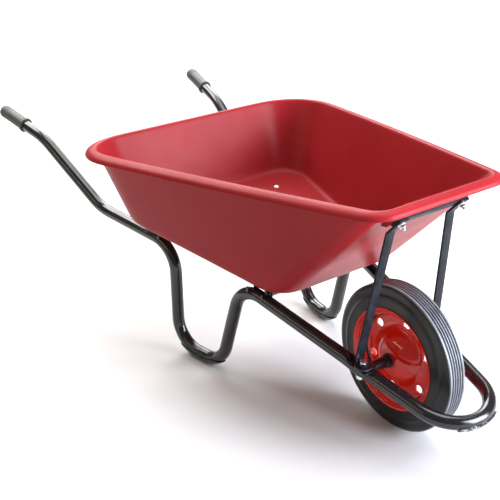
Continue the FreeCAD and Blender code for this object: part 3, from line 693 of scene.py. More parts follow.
def make_tube():
    """Bends the whole tube, from one handle round the bow to the other."""
    bm = bmesh.new()
    corners = side_points(1) + [SIDES_MEET] + side_points(-1)[::-1]
    radii = [r * MM for r in SIDE_RADII]
    stand = facing(corners[1] - corners[0], corners[0])
    edges = circle_section(bm, TUBE_SEGMENTS, TUBE_RADIUS, stand)
    follow(bm, edges, corners, radii + [BOW_RADIUS] + radii[::-1], TUBE_STEP)
    close_ends(bm)
    for side in SIDES:
        press_seat(bm, side)
    finish_piece(bm, "bent_tube", "frame", frame_paint, ["frame_tube"])


make_tube()

# %% [markdown]
# ## Grips
# Each grip is a moulded sleeve with a closed, rounded end and a collar that stops the hand. A
# lathe makes the body, and shallow rings are turned into it where the mould has them.

# %% Turn the grips
GRIP_RADIUS = 18.5
GRIP_LENGTH = 106
GRIP_SEGMENTS = 56
GRIP_BORE = 16.1
COLLAR_RADIUS = 21.5
GRIP_NOSE = [
    (0, -5.4), (2.2, -5.2), (2.8, -4), (12, -3.8), (15.6, -2.8), (17.8, -0.4), (GRIP_RADIUS, 4)]
GRIP_RING_STARTS = (12, 17, 22)
GRIP_COLLAR = [
    (GRIP_RADIUS, -9), (COLLAR_RADIUS - 0.6, -6.6), (COLLAR_RADIUS, -5), (COLLAR_RADIUS, -1.2),
    (COLLAR_RADIUS - 0.9, 0), (GRIP_BORE, 0), (GRIP_BORE, -8)]


def make_grip(side, name, node):
    """Turns one grip on the handle's end. Its collar is measured back from its inner end."""
    bm = bmesh.new()
    end, bend = side_points(side)[:2]
    outline = list(GRIP_NOSE)
    for start in GRIP_RING_STARTS:
        outline += [(GRIP_RADIUS, start), (GRIP_RADIUS - 0.5, start + 0.7), (GRIP_RADIUS, start + 1.4)]
    outline.append((GRIP_RADIUS - 0.3, GRIP_LENGTH / 2))
    outline += [(r, GRIP_LENGTH + s) for r, s in GRIP_COLLAR]
    lathe(bm, outline, end, (bend - end).normalized(), GRIP_SEGMENTS, closed=False)
    close_ends(bm)
    finish_piece(bm, name, "frame", grip_rubber, [node])


make_grip(1, "moulded_grip_left", "grip_left")
make_grip(-1, "moulded_grip_right", "grip_right")

# %% [markdown]
# ## The pan
# The pan is one moulded skin: a floor, four sloping walls that are rounded into each other, and
# a lip that rolls outwards and down. Each ring of the skin is a four-cornered outline whose
# corners are bevelled to that ring's radius. Bridging the rings gives clean quads for a
# subdivision surface, and Solidify gives the wall its thickness. Each ring is set in from the
# floor's or the rim's edge and raised by a few millimetres, and a wall ring also has its share
# of the wall's height.

# %% Pan sizes
FLOOR_X = (-214 * MM, 324 * MM)
FLOOR_Z = (358.4 * MM, 287.6 * MM)
FLOOR_HALF_WIDTH = (300.1 * MM, 184.7 * MM)
FLOOR_CORNER = (76 * MM, 74 * MM)
RIM_X = (-312 * MM, 657 * MM)
RIM_Z = (543.9 * MM, 607.9 * MM)
RIM_HALF_WIDTH = (414.9 * MM, 194.0 * MM)
RIM_CORNER = (150 * MM, 60 * MM)
RIM_BOW = 8 * MM
PAN_WALL = 4 * MM
LIP_WIDTH = 25.5 * MM
LIP_WIDTH_FRONT = 20 * MM


def ring_corners(level, inset, front_inset, rise):
    """The four corners and radii of a ring: level 0 is the floor, level 1 the rim."""
    floor_run = FLOOR_X[1] - FLOOR_X[0]
    rim_run = RIM_X[1] - RIM_X[0]
    slope = between((FLOOR_Z[1] - FLOOR_Z[0]) / floor_run, (RIM_Z[1] - RIM_Z[0]) / rim_run, level)
    taper = between(
        (FLOOR_HALF_WIDTH[0] - FLOOR_HALF_WIDTH[1]) / floor_run,
        (RIM_HALF_WIDTH[0] - RIM_HALF_WIDTH[1]) / rim_run, level)
    corners = []
    for end, inward, edge in ((0, 1, inset), (1, -1, front_inset)):
        shift = inward * edge
        x = between(FLOOR_X[end], RIM_X[end], level) + shift
        half = between(FLOOR_HALF_WIDTH[end], RIM_HALF_WIDTH[end], level)
        half -= inset * math.hypot(1, taper) + taper * shift
        z = between(FLOOR_Z[end], RIM_Z[end], level) + slope * shift + rise
        radius = between(FLOOR_CORNER[end], RIM_CORNER[end], level) - edge
        corners.append((x, half, z, radius))
    return corners


def mix_rings(low, high, t):
    """A ring part of the way up the wall."""
    return [tuple(between(a, b, t) for a, b in zip(*pair)) for pair in zip(low, high)]


print("rim corners", ring_corners(1.0, 0.0, 0.0, 0.0))

# %% Outlines with rounded corners
def rounded_outline(bm, corners, reaches, segments, cuts=None):
    """A flat outline whose corners are bevelled. cuts divides the straight sides."""
    before = set(bm.faces)
    verts = [bm.verts.new(corner) for corner in corners]
    bm.faces.new(verts)
    for vert, reach in zip(verts, reaches):
        bevel(bm, [vert], reach, segments, "VERTICES", clamp=False)
    face = next(f for f in bm.faces if f not in before)
    edges = list(face.edges)
    bmesh.ops.delete(bm, geom=[face], context="FACES_ONLY")
    if not cuts:
        return edges
    for edge in sorted(edges, key=lambda e: -e.calc_length())[:4]:
        edges.remove(edge)
        run = edge.verts[0].co - edge.verts[1].co
        count = cuts[0] if abs(run.x) > abs(run.y) else cuts[1]
        made = bmesh.ops.subdivide_edges(bm, edges=[edge], cuts=count)
        pieces = only_edges(made["geom_inner"] + made["geom_split"])
        edges += [piece for piece in pieces if piece not in edges]
    return edges


CORNER_SEGMENTS = 8
SIDE_CUTS = (11, 6)


def pan_ring(bm, ring, bow):
    """One ring of the pan, with rounded corners and sides that bow outwards by bow."""
    (rear_x, rear_y, rear_z, rear_r), (front_x, front_y, front_level, front_r) = ring
    lean = math.atan2(rear_y - front_y, front_x - rear_x)
    rear_reach = rear_r / math.tan((math.pi / 2 - lean) / 2)
    front_reach = front_r / math.tan((math.pi / 2 + lean) / 2)
    corners = [
        (rear_x, rear_y, rear_z), (rear_x, -rear_y, rear_z),
        (front_x, -front_y, front_level), (front_x, front_y, front_level)]
    reaches = (rear_reach, rear_reach, front_reach, front_reach)
    edges = rounded_outline(bm, corners, reaches, CORNER_SEGMENTS, SIDE_CUTS)
    start, end = rear_x + rear_reach / 2, front_x - front_reach / 2
    for vert in {v for e in edges for v in e.verts}:
        t = (vert.co.x - start) / (end - start)
        if 0 < t < 1 and abs(vert.co.y) > front_y * 0.8:
            vert.co.y += math.copysign(bow * 4 * t * (1 - t), vert.co.y)
    return edges


# %% Mould the pan
FLOOR_ROUND = ((33.8, 0.0), (14.95, 0.0), (10.4, 0.5), (5.85, 1.9))
WALL_STEPS = (
    (0.028, 1.6), (0.06, 0.35), (0.10, 0.0), (0.25, 0.0), (0.42, 0.0), (0.60, 0.0), (0.78, 0.0),
    (0.92, 0.0), (0.975, 0.0))
WALL_TOP = ((3.5, -1.6), (0.5, 0.0), (-3.5, 0.35))
LIP_ROLL = ((14, -1.4), (9, -3.4), (5, -6.0), (2, -9.2), (0.4, -12.6), (0, -15.6), (0, -18))


def pan_rings():
    """The rings of the visible skin, from the floor up the walls and over the lip."""
    rings = []
    for inset, rise in FLOOR_ROUND:
        inset = PAN_WALL + inset * MM
        rings.append((ring_corners(0.0, inset, inset, PAN_WALL + rise * MM), 0.0))
    low = ring_corners(0.0, PAN_WALL, PAN_WALL, PAN_WALL)
    high = ring_corners(1.0, LIP_WIDTH + PAN_WALL, LIP_WIDTH_FRONT + PAN_WALL, 0.0)
    for t, inset in WALL_STEPS:
        (rear_x, rear_y, *rear), (front_x, front_y, *front) = mix_rings(low, high, t)
        shift = inset * MM
        ring = [(rear_x + shift, rear_y - shift, *rear), (front_x - shift, front_y - shift, *front)]
        rings.append((ring, RIM_BOW * t))
    for inset, rise in WALL_TOP:
        ring = ring_corners(1.0, LIP_WIDTH + inset * MM, LIP_WIDTH_FRONT + inset * MM, rise * MM)
        rings.append((ring, RIM_BOW))
    for inset, rise in LIP_ROLL:
        rings.append((ring_corners(1.0, inset * MM, inset * MM, rise * MM), RIM_BOW))
    return rings


def make_pan():
    """Bridges the rings, fills the floor and gives the skin its thickness."""
    bm = bmesh.new()
    loops = [pan_ring(bm, ring, bow) for ring, bow in pan_rings()]
    for low, high in zip(loops, loops[1:]):
        bmesh.ops.bridge_loops(bm, edges=low + high)
    bmesh.ops.contextual_create(bm, geom=loops[0])
    bmesh.ops.recalc_face_normals(bm, faces=bm.faces)
    floor_face = max(bm.faces, key=lambda f: len(f.verts))
    if floor_face.normal.z < 0:
        bmesh.ops.reverse_faces(bm, faces=bm.faces)
    piece = finish_piece(
        bm, "moulded_pan", "frame", pan_plastic, ["pan"], sharp=180, settle=False)
    wall = piece.modifiers.new("wall", "SOLIDIFY")
    wall.thickness = PAN_WALL
    wall.offset = -1
    wall.use_even_offset = True
    smooth = piece.modifiers.new("smooth", "SUBSURF")
    smooth.levels = 2
    smooth.render_levels = 2


make_pan()

# %% [markdown]
# ## Straps, channels and the ledge
# The stays are flat bar with rolled edges. A bar starts as a rounded rectangle that the bender
# carries along its bends, and its foot is rounded by pushing the section on while it narrows.
# The ledge is a thickened band in the front wall, which the lip bar and the stays bolt to.

# %% Directions on the floor and the front wall
WALL_FOOT = Vector((FLOOR_X[1], 0, FLOOR_Z[1]))
WALL_HEAD = Vector((RIM_X[1] - LIP_WIDTH_FRONT, 0, RIM_Z[1]))
WALL_UP = (WALL_HEAD - WALL_FOOT).normalized()
WALL_OUT = Vector((WALL_UP.z, 0, -WALL_UP.x))
FLOOR_ALONG = Vector((FLOOR_X[1] - FLOOR_X[0], 0, FLOOR_Z[1] - FLOOR_Z[0])).normalized()
FLOOR_UP = Vector((-FLOOR_ALONG.z, 0, FLOOR_ALONG.x))
BAR_EDGE = 0.9 * MM
CLEARANCE = 0.1 * MM


def wall_point(y, run, out):
    """A point on the front wall: run up its slope, out clear of its outer face."""
    point = WALL_FOOT + WALL_UP * run + WALL_OUT * out
    return Vector((point.x, y, point.z))


def floor_point(x, y, below):
    """A point under the pan's floor."""
    t = (x - FLOOR_X[0]) / (FLOOR_X[1] - FLOOR_X[0])
    return Vector((x, y, between(*FLOOR_Z, t))) - FLOOR_UP * below


def bar_section(bm, centre, wide, thick, width, thickness):
    """A rectangle with rounded corners, between two directions."""
    half_w, half_t = wide * width / 2, thick * thickness / 2
    corners = [
        centre + half_w + half_t, centre - half_w + half_t, centre - half_w - half_t,
        centre + half_w - half_t]
    return rounded_outline(bm, corners, [BAR_EDGE] * 4, 3)


# %% Ledge and lip bar
LEDGE_THICK = 12 * MM
LEDGE_SUNK = 2 * MM
LEDGE_HALF = 106 * MM
LEDGE_EASE = 5 * MM
LEDGE_RUN = 352 * MM
LEDGE_TOP_RUN = 444 * MM
LIP_BAR_WIDTH = 25 * MM
LIP_BAR_THICK = 5 * MM
LIP_BAR_HALF = 104 * MM
LIP_BOLT_RUN = 390 * MM


def ledge_end_edge(edge):
    """True for a sharp edge at either end of the ledge."""
    at_end = all(abs(v.co.y) > LEDGE_HALF - MM for v in edge.verts)
    return at_end and edge.calc_face_angle(0) > math.radians(60)


def make_ledge():
    """A wedge-shaped band whose back is sunk in the wall."""
    bm = bmesh.new()
    corners = [
        wall_point(-LEDGE_HALF, run, out) for run, out in (
            (LEDGE_RUN - 3 * MM, -LEDGE_SUNK), (LEDGE_RUN + LEDGE_THICK, LEDGE_THICK),
            (LEDGE_TOP_RUN - 14 * MM, LEDGE_THICK), (LEDGE_TOP_RUN, -LEDGE_SUNK))]
    edges = rounded_outline(bm, corners, [0.2 * MM, LEDGE_EASE, LEDGE_EASE, 0.2 * MM], 4)
    push(bm, edges, ACROSS * 2 * LEDGE_HALF, 10)
    close_ends(bm)
    bmesh.ops.recalc_face_normals(bm, faces=bm.faces)
    bevel(bm, [edge for edge in bm.edges if ledge_end_edge(edge)], 4 * MM, 3)
    finish_piece(bm, "pan_ledge", "frame", pan_plastic)


def make_lip_bar():
    """The flat bar that spreads the pull of the two lip bolts."""
    bm = bmesh.new()
    start = wall_point(-LIP_BAR_HALF, LIP_BOLT_RUN, LEDGE_THICK + CLEARANCE + LIP_BAR_THICK / 2)
    edges = bar_section(bm, start, WALL_UP, WALL_OUT, LIP_BAR_WIDTH, LIP_BAR_THICK)
    push(bm, edges, ACROSS * 2 * LIP_BAR_HALF, 8)
    close_ends(bm)
    finish_piece(bm, "lip_flat_bar", "frame", stay_satin, ["lip_bar"])


make_ledge()
make_lip_bar()

# %% Bend the stays
STAY_WIDTH = 25 * MM
STAY_THICK = 5 * MM
STAY_TOP_Y = 89 * MM
STAY_KINK_RUN = 349 * MM
STAY_TOP_RUN = 405 * MM
STAY_BENDS = (16 * MM, 12 * MM)
STAY_STEP = 15 * MM
STAY_GAP = 0.15 * MM
FOOT_BACK = 14 * MM
TONGUE_THICK = 5 * MM


def round_tip(bm, edges, direction, radius, steps=7):
    """Pushes a section on while it narrows to nothing across, for a bar's round end."""
    for k in range(1, steps + 1):
        here, last = (math.radians(88.0 * i / steps) for i in (k, k - 1))
        edges = push(bm, edges, direction * radius * (math.sin(here) - math.sin(last)))
        for vert in {v for e in edges for v in e.verts}:
            vert.co.y *= math.cos(here) / math.cos(last)


def make_stay(side, name, node):
    """Bends one stay on the centre plane, then leans it out to its own bolt."""
    out = LEDGE_THICK + LIP_BAR_THICK + STAY_THICK / 2 + STAY_GAP
    foot_up = SEAT_HEIGHT + TONGUE_THICK + STAY_THICK / 2
    top = wall_point(0, STAY_TOP_RUN, out)
    kink = wall_point(0, STAY_KINK_RUN, out)
    heel = seat_point(0, -FOOT_BACK, foot_up)
    toe = seat_point(0, 0, foot_up)
    bm = bmesh.new()
    along = (kink - top).normalized()
    thick = along.cross(ACROSS)
    edges = bar_section(bm, top, ACROSS, thick, STAY_WIDTH, STAY_THICK)
    edges = follow(bm, edges, [top, kink, heel, toe], STAY_BENDS, STAY_STEP)
    round_tip(bm, edges, SEAT_ALONG, STAY_WIDTH / 2)
    close_ends(bm)
    drop = heel - kink
    for vert in bm.verts:
        t = min(max((vert.co - kink).dot(drop) / drop.length_squared, 0.0), 1.0)
        vert.co.y += side * between(STAY_TOP_Y, SEAT_HALF_SPACING, t)
    finish_piece(bm, name, "frame", stay_satin, [node])


make_stay(1, "flat_stay_left", "stay_left")
make_stay(-1, "flat_stay_right", "stay_right")

# %% [markdown]
# The two crossmembers are folded sheet channels that straddle the tubes. A channel is a folded
# line, so three sides are pushed across the barrow and given the thickness of the sheet.

# %% Fold the crossmembers
CHANNEL_WIDTH = 45 * MM
CHANNEL_HEIGHT = 36 * MM
CHANNEL_SHEET = 2.5 * MM
CHANNEL_OVERHANG = 2 * MM
CHANNEL_FOLD = 3.5 * MM
REAR_CHANNEL_X = -128 * MM
FRONT_CHANNEL_X = 235 * MM


def make_channel(x, name, node):
    """Folds one channel, open below, from tube to tube."""
    half_length = abs(tube_side(x, 0, 1).y) + CHANNEL_OVERHANG
    centre = floor_point(x, -half_length, CLEARANCE)
    half = FLOOR_ALONG * CHANNEL_WIDTH / 2
    down = FLOOR_UP * -CHANNEL_HEIGHT
    bm = bmesh.new()
    corners = [centre - half, centre + half, centre + half + down, centre - half + down]
    edges = rounded_outline(bm, corners, [CHANNEL_FOLD, CHANNEL_FOLD, 0.1 * MM, 0.1 * MM], 3)
    low = (centre + down).dot(FLOOR_UP) + 0.5 * MM
    bottom = [e for e in edges if all(v.co.dot(FLOOR_UP) < low for v in e.verts)]
    sides = [e for e in edges if e not in bottom]
    bmesh.ops.delete(bm, geom=bottom, context="EDGES")
    push(bm, sides, ACROSS * 2 * half_length, 12)
    bmesh.ops.recalc_face_normals(bm, faces=bm.faces)
    top_face = max(bm.faces, key=lambda f: f.calc_area() * abs(f.normal.dot(FLOOR_UP)))
    if top_face.normal.dot(FLOOR_UP) < 0:
        bmesh.ops.reverse_faces(bm, faces=bm.faces)
    piece = finish_piece(bm, name, "frame", frame_paint, [node], settle=False)
    sheet = piece.modifiers.new("sheet", "SOLIDIFY")
    sheet.thickness = CHANNEL_SHEET
    sheet.offset = -1
    edge = piece.modifiers.new("edge", "BEVEL")
    edge.width = 0.6 * MM
    edge.segments = 2


make_channel(REAR_CHANNEL_X, "rear_channel", "rear_crossmember")
make_channel(FRONT_CHANNEL_X, "front_channel", "front_crossmember")

# %% [markdown]
# ## The wheel
# The tyre is solid rubber with fine ribs round its tread. Its outline is spun once, so every
# rib is real. The two discs are pressings: a dome round the hub with a crease, a flat web with
# six holes, and stepped rings at the rim that grip the tyre. Their outline gets a smooth curve
# before the lathe, and the holes are punched by a boolean cut that is applied at once. Outlines
# are pairs of radius and distance from the wheel's middle, in millimetres.

# %% Turn the tyre
TREAD_EDGE = 21.5
TREAD_GROOVES = 5
TREAD_CROWN = 0.3
GROOVE_HALF = ((2.6, 0.0), (2.0, 0.5), (1.2, 3.4), (0.8, 4.0))
TYRE_SIDE = [
    (103, 9.0), (106, 11.6), (108.4, 17.3), (110.4, 20.0), (113.9, 21.3), (115.4, 24.8),
    (118.4, 26.4), (120.4, 29.2), (124.4, 30.2), (126.5, 30.4), (129, 30.0), (134, 29.0),
    (145, 27.9), (147, 27.9), (148, 28.3), (150, 28.2), (151, 27.2), (160, 26.0), (167, 25.2),
    (171.5, 24.4), (174.2, 23.2), (176.2, 21.9)]
WHEEL_SEGMENTS = 144


def make_tyre():
    """Spins one side, the grooved tread and the other side."""
    top = WHEEL_RADIUS / MM
    groove = [(y, drop) for y, drop in GROOVE_HALF] + [(-y, drop) for y, drop in GROOVE_HALF[::-1]]
    pitch = 2 * TREAD_EDGE / (TREAD_GROOVES + 1)
    tread = [(top - TREAD_CROWN, TREAD_EDGE)]
    for k in range(TREAD_GROOVES):
        middle = TREAD_EDGE - (k + 1) * pitch
        tread += [(top - drop, middle + y) for y, drop in groove]
    tread.append((top - TREAD_CROWN, -TREAD_EDGE))
    other_side = [(r, -y) for r, y in TYRE_SIDE[::-1]]
    bm = bmesh.new()
    lathe(bm, TYRE_SIDE + tread + other_side, WHEEL_CENTRE, ACROSS, WHEEL_SEGMENTS)
    finish_piece(bm, "ribbed_tyre", "wheel", tyre_rubber, ["tyre"], sharp=50)


make_tyre()

# %% Press the discs
DISC_SHEET = 1.6
DISC_CREASE = 40
DISC_HOLES = 6
DISC_HOLE_RADIUS = 10 * MM
DISC_HOLE_CIRCLE = 88 * MM
DISC_HOLE_PHASE = 18.7
PUNCH_LENGTH = 60 * MM
DISC_INNER = [
    (17, 34.9), (27, 33.6), (38, 30.0), (48, 24.4), (56, 17.6), (62, 10.8), (65, 7.2), (69, 3.6),
    (74, 1.2), (80, 0.1), (88, 0.1), (97, 0.1), (102, 1.8), (105.5, 6.0), (107, 12.0), (108, 17.5),
    (110, 20.2), (113.5, 21.5), (115, 25.0), (118, 26.6), (120, 29.4), (124, 30.6)]


def sheet_outline(points, thickness):
    """A closed outline of a pressed sheet, from the points of its inner face."""
    outer = []
    for i, (r, s) in enumerate(points):
        before, after = points[max(i - 1, 0)], points[min(i + 1, len(points) - 1)]
        run = Vector((after[0] - before[0], after[1] - before[1])).normalized()
        outer.append((r - run.y * thickness, s + run.x * thickness))
    return points + outer[::-1]


def punch(piece, cutter_mesh):
    """Cuts one mesh out of a piece and keeps only the result."""
    cutter = bpy.data.objects.new("punch", cutter_mesh)
    scene.collection.objects.link(cutter)
    modifier = piece.modifiers.new("punch", "BOOLEAN")
    modifier.object = cutter
    modifier.operation = "DIFFERENCE"
    modifier.solver = "EXACT"
    view = bpy.context.evaluated_depsgraph_get()
    cut = bpy.data.meshes.new_from_object(piece.evaluated_get(view))
    piece.modifiers.clear()
    piece.data = cut
    bpy.data.objects.remove(cutter)


def hole_punches():
    """Six round bars through the web, as one mesh to cut with."""
    bm = bmesh.new()
    for k in range(DISC_HOLES):
        angle = math.radians(DISC_HOLE_PHASE + 360 * k / DISC_HOLES)
        spoke = Vector((math.cos(angle), 0, math.sin(angle))) * DISC_HOLE_CIRCLE
        bmesh.ops.create_cone(
            bm, cap_ends=True, segments=40, radius1=DISC_HOLE_RADIUS, radius2=DISC_HOLE_RADIUS,
            depth=PUNCH_LENGTH, matrix=facing(ACROSS, WHEEL_CENTRE + spoke))
    mesh = bpy.data.meshes.new("punch")
    bm.to_mesh(mesh)
    bm.free()
    return mesh


def make_disc(side, name, node):
    """Spins one disc and punches its holes."""
    inner = [(r, side * y) for r, y in smooth_line(DISC_INNER, 3)]
    bm = bmesh.new()
    lathe(bm, sheet_outline(inner, side * DISC_SHEET), WHEEL_CENTRE, ACROSS, WHEEL_SEGMENTS)
    piece = finish_piece(bm, name, "wheel", wheel_red, [node], sharp=DISC_CREASE)
    punch(piece, hole_punches())
    piece.data.set_sharp_from_angle(angle=math.radians(DISC_CREASE))


make_disc(1, "pressed_disc_left", "wheel_disc_left")
make_disc(-1, "pressed_disc_right", "wheel_disc_right")

# %% [markdown]
# ## The axle
# The axle is pipe that a press has flattened at both ends. One ring of points starts round and
# is pushed sideways along the axle. At each stop the points move to that stop's section, which
# changes from a circle to a flat slot and narrows to nothing round the tip. The slot is the
# circle with its sine and cosine raised to powers below 1, which squares it up.

# %% Flatten the axle
AXLE_RADIUS = 12.5 * MM
AXLE_ROUND_HALF = 84 * MM
AXLE_FLAT_START = 102 * MM
TONGUE_WIDTH = 39 * MM
WIDE_POWER = 0.32
THIN_POWER = 0.6
TIP_LEAST = 0.0004
AXLE_STOPS = [40, 70, *range(84, 104, 2), 110]
TIP_STEPS = 9
AXLE_SEGMENTS = 56


def axle_place(angle, y):
    """Where a point of the axle's ring lies, from its angle and its distance across."""
    reach = abs(y)
    ease = smooth_step((reach - AXLE_ROUND_HALF) / (AXLE_FLAT_START - AXLE_ROUND_HALF))
    along, up = math.cos(angle), math.sin(angle)
    flat_along = math.copysign(abs(along) ** WIDE_POWER, along) * TONGUE_WIDTH / 2
    beyond = min(max((reach - SEAT_HALF_SPACING) / (TONGUE_WIDTH / 2), 0.0), 1.0)
    flat_along *= math.sqrt(max(1 - beyond * beyond, TIP_LEAST))
    flat_up = math.copysign(abs(up) ** THIN_POWER, up) * TONGUE_THICK / 2
    round_centre = Vector((WHEEL_CENTRE.x, y, WHEEL_CENTRE.z))
    flat_centre = seat_point(0, 0, SEAT_HEIGHT + TONGUE_THICK / 2)
    flat_centre.y = y
    centre = round_centre.lerp(flat_centre, ease)
    a = between(along * AXLE_RADIUS, flat_along, ease)
    u = between(up * AXLE_RADIUS, flat_up, ease)
    return centre + SEAT_ALONG * a + SEAT_UP * u


def make_axle():
    """Pushes the ring from tip to tip, then moves each point to its stop's section."""
    stops = [stop * MM for stop in AXLE_STOPS]
    stops += [
        SEAT_HALF_SPACING + TONGUE_WIDTH / 2 * math.sin(math.radians(90 * k / TIP_STEPS))
        for k in range(TIP_STEPS + 1)]
    bm = bmesh.new()
    start = WHEEL_CENTRE - ACROSS * stops[-1]
    edges = circle_section(bm, AXLE_SEGMENTS, AXLE_RADIUS, facing(ACROSS, start))
    whole = [-stop for stop in stops[::-1]] + stops
    for last, here in zip(whole, whole[1:]):
        edges = push(bm, edges, ACROSS * (here - last))
    close_ends(bm)
    for vert in bm.verts:
        offset = vert.co - WHEEL_CENTRE
        vert.co = axle_place(math.atan2(offset.dot(SEAT_UP), offset.dot(SEAT_ALONG)), vert.co.y)
    finish_piece(bm, "flattened_axle", "frame", axle_paint, ["axle"], sharp=50)


make_axle()

# %% Spacer collars
COLLAR_OUTLINE = (
    (12.3, 39.9), (14, 39.9), (15, 40.9), (15.1, 45.9), (15, 50.5), (14.5, 51.5), (13.6, 51.9),
    (12.3, 51.9))


def make_collars():
    """The sleeves that keep the wheel in the middle of its axle."""
    bm = bmesh.new()
    for side in SIDES:
        lathe(bm, [(r, side * s) for r, s in COLLAR_OUTLINE], WHEEL_CENTRE, ACROSS, 64)
    finish_piece(bm, "spacer_collars", "frame", axle_paint, ["axle_collars"])


make_collars()

# %% [markdown]
# ## Bolts, nuts and washers
# The fasteners are small but bright, so they are made as real ones: a hexagon whose corners are
# chamfered, a flat washer, a low cup head and a shank with a thread that shows past the nut.
# Each kind goes in one piece, as identical fasteners do in the frame.

# %% Fastener tools
M8 = {
    "shank": 4.0, "head": 9.0, "head_high": 4.5, "flats": 13.0, "nut": 6.5, "washer": 9.5,
    "sheet": 1.6, "pitch": 1.25}
M10 = {
    "shank": 5.0, "head_high": 6.4, "flats": 17.0, "nut": 8.0, "washer": 10.5, "sheet": 2.0,
    "pitch": 1.5}
THREADED = 20
CHAMFER = 0.13
EASED_EDGE = 0.3 * MM


def hexagon(bm, base, axis, flats, height, turn):
    """A hexagonal head whose upper corners are chamfered and whose edges are eased."""
    reach = flats * MM / math.sqrt(3)
    middle = base + axis * height * MM / 2
    stand = facing(axis, middle) @ Matrix.Rotation(turn, 4, "Z")
    made = bmesh.ops.create_cone(
        bm, cap_ends=True, segments=6, radius1=reach, radius2=reach, depth=height * MM, matrix=stand)
    level = middle.dot(axis)
    corners = [v for v in made["verts"] if v.co.dot(axis) > level]
    cut = bevel(bm, corners, flats * MM * CHAMFER, 2, "VERTICES")
    faces = {f for v in cut["verts"] + made["verts"] if v.is_valid for f in v.link_faces}
    edges = list({e for f in faces for e in f.edges if e.calc_face_angle(0) > math.radians(40)})
    bevel(bm, edges, EASED_EDGE, 2)


def threaded_shank(bm, top, axis, length, size):
    """A shank that hangs from a point, with thread rings along its lower end."""
    radius, pitch = size["shank"], size["pitch"]
    core = radius - 0.55 * pitch
    outline = [(0, -length), (core - 0.6, -length), (core, -length + 0.6)]
    s = -length + 0.8
    while s < -length + min(THREADED, length - 2):
        outline += [
            (core, s), (radius, s + pitch * 0.35), (radius, s + pitch * 0.5), (core, s + pitch * 0.85)]
        s += pitch
    outline += [(radius, s + 0.3), (radius, 0)]
    lathe(bm, outline, top, axis, 24, closed=False)


def washer(bm, base, axis, size):
    """A flat ring whose outer edges are eased."""
    radius, hole, sheet = size["washer"], size["shank"] + 0.2, size["sheet"]
    outline = [
        (hole, 0), (radius - 0.4, 0), (radius, 0.3), (radius, sheet - 0.5), (radius - 0.5, sheet),
        (hole, sheet)]
    lathe(bm, outline, base, axis, 40)


def cup_head(bm, base, axis):
    """The low domed head of a coach bolt, with a crisp rim."""
    high, radius, rim = M8["head_high"], M8["head"], 0.6
    outline = [(0, high)]
    for angle in (math.radians(degrees) for degrees in range(12, 90, 12)):
        outline.append((radius * math.sin(angle), rim + (high - rim) * math.cos(angle)))
    outline += [(radius, rim - 0.05), (radius - 0.1, 0)]
    lathe(bm, outline, base, axis, 40, closed=False)


def fastener_pieces(meshes, names, nodes):
    """Finishes a set of bolts, washers and nuts as three pieces."""
    for bm, name, node in zip(meshes, names, nodes):
        close_ends(bm)
        finish_piece(bm, name, "frame", zinc, [node], sharp=28)


# %% Pan bolts
PAN_BOLTS = ((REAR_CHANNEL_X, 166 * MM), (FRONT_CHANNEL_X, 130 * MM))
PAN_BOLT_LENGTH = 22
NUT_TURN = 0.7


def make_pan_fasteners():
    """Four bolts from inside the pan, down through the channels."""
    bolts, washers, nuts = (bmesh.new() for _ in range(3))
    points = [floor_point(x, side * y, 0) for x, y in PAN_BOLTS for side in SIDES]
    for i, point in enumerate(points):
        head = point + FLOOR_UP * (PAN_WALL + CLEARANCE / 2)
        cup_head(bolts, head, FLOOR_UP)
        threaded_shank(bolts, head, FLOOR_UP, PAN_BOLT_LENGTH, M8)
        under = point - FLOOR_UP * (CHANNEL_SHEET + (0.12 + M8["sheet"]) * MM)
        washer(washers, under, FLOOR_UP, M8)
        hexagon(nuts, under, -FLOOR_UP, M8["flats"], M8["nut"], i * NUT_TURN)
    names = ("cup_bolts", "pan_bolt_washers", "pan_bolt_nuts")
    fastener_pieces((bolts, washers, nuts), names, ("pan_bolts", "pan_washers", "pan_nuts"))


make_pan_fasteners()

# %% Lip bolts
LIP_BOLT_LENGTH = 42


def make_lip_fasteners():
    """Two bolts through the lip, the flat bar and the stays."""
    bolts, washers, nuts = (bmesh.new() for _ in range(3))
    skin = PAN_WALL * (WALL_OUT.x - WALL_OUT.z) + CLEARANCE / 2
    outside = LEDGE_THICK + LIP_BAR_THICK + STAY_THICK + 2 * CLEARANCE
    for side in SIDES:
        y = side * STAY_TOP_Y
        head = wall_point(y, LIP_BOLT_RUN, -skin)
        cup_head(bolts, head, -WALL_OUT)
        threaded_shank(bolts, head, -WALL_OUT, LIP_BOLT_LENGTH, M8)
        washer(washers, wall_point(y, LIP_BOLT_RUN, outside), WALL_OUT, M8)
        seat = wall_point(y, LIP_BOLT_RUN, outside + M8["sheet"] * MM)
        hexagon(nuts, seat, WALL_OUT, M8["flats"], M8["nut"], 0.3 + side * 0.5)
    names = ("lip_cup_bolts", "lip_bolt_washers", "lip_bolt_nuts")
    fastener_pieces((bolts, washers, nuts), names, ("lip_bolts", "lip_washers", "lip_nuts"))


make_lip_fasteners()

# %% Axle bolts
AXLE_BOLT_SPARE = 4


def make_axle_fasteners():
    """Two bolts down through the stay, the axle's flat end and the tube."""
    bolts, washers, nuts = (bmesh.new() for _ in range(3))
    top = SEAT_HEIGHT + TONGUE_THICK + STAY_THICK
    length = (top + TUBE_RADIUS) / MM + M10["sheet"] + M10["nut"] + AXLE_BOLT_SPARE
    for side in SIDES:
        seat = seat_point(side, 0, top)
        hexagon(bolts, seat, SEAT_UP, M10["flats"], M10["head_high"], 0.35 * side)
        threaded_shank(bolts, seat, SEAT_UP, length, M10)
        under = seat_point(side, 0, -TUBE_RADIUS - M10["sheet"] * MM)
        washer(washers, under, SEAT_UP, M10)
        hexagon(nuts, under, -SEAT_UP, M10["flats"], M10["nut"], 0.6)
    names = ("hex_axle_bolts", "axle_washers", "axle_bolt_nuts")
    fastener_pieces((bolts, washers, nuts), names, ("axle_bolts", "axle_bolt_washers", "axle_nuts"))


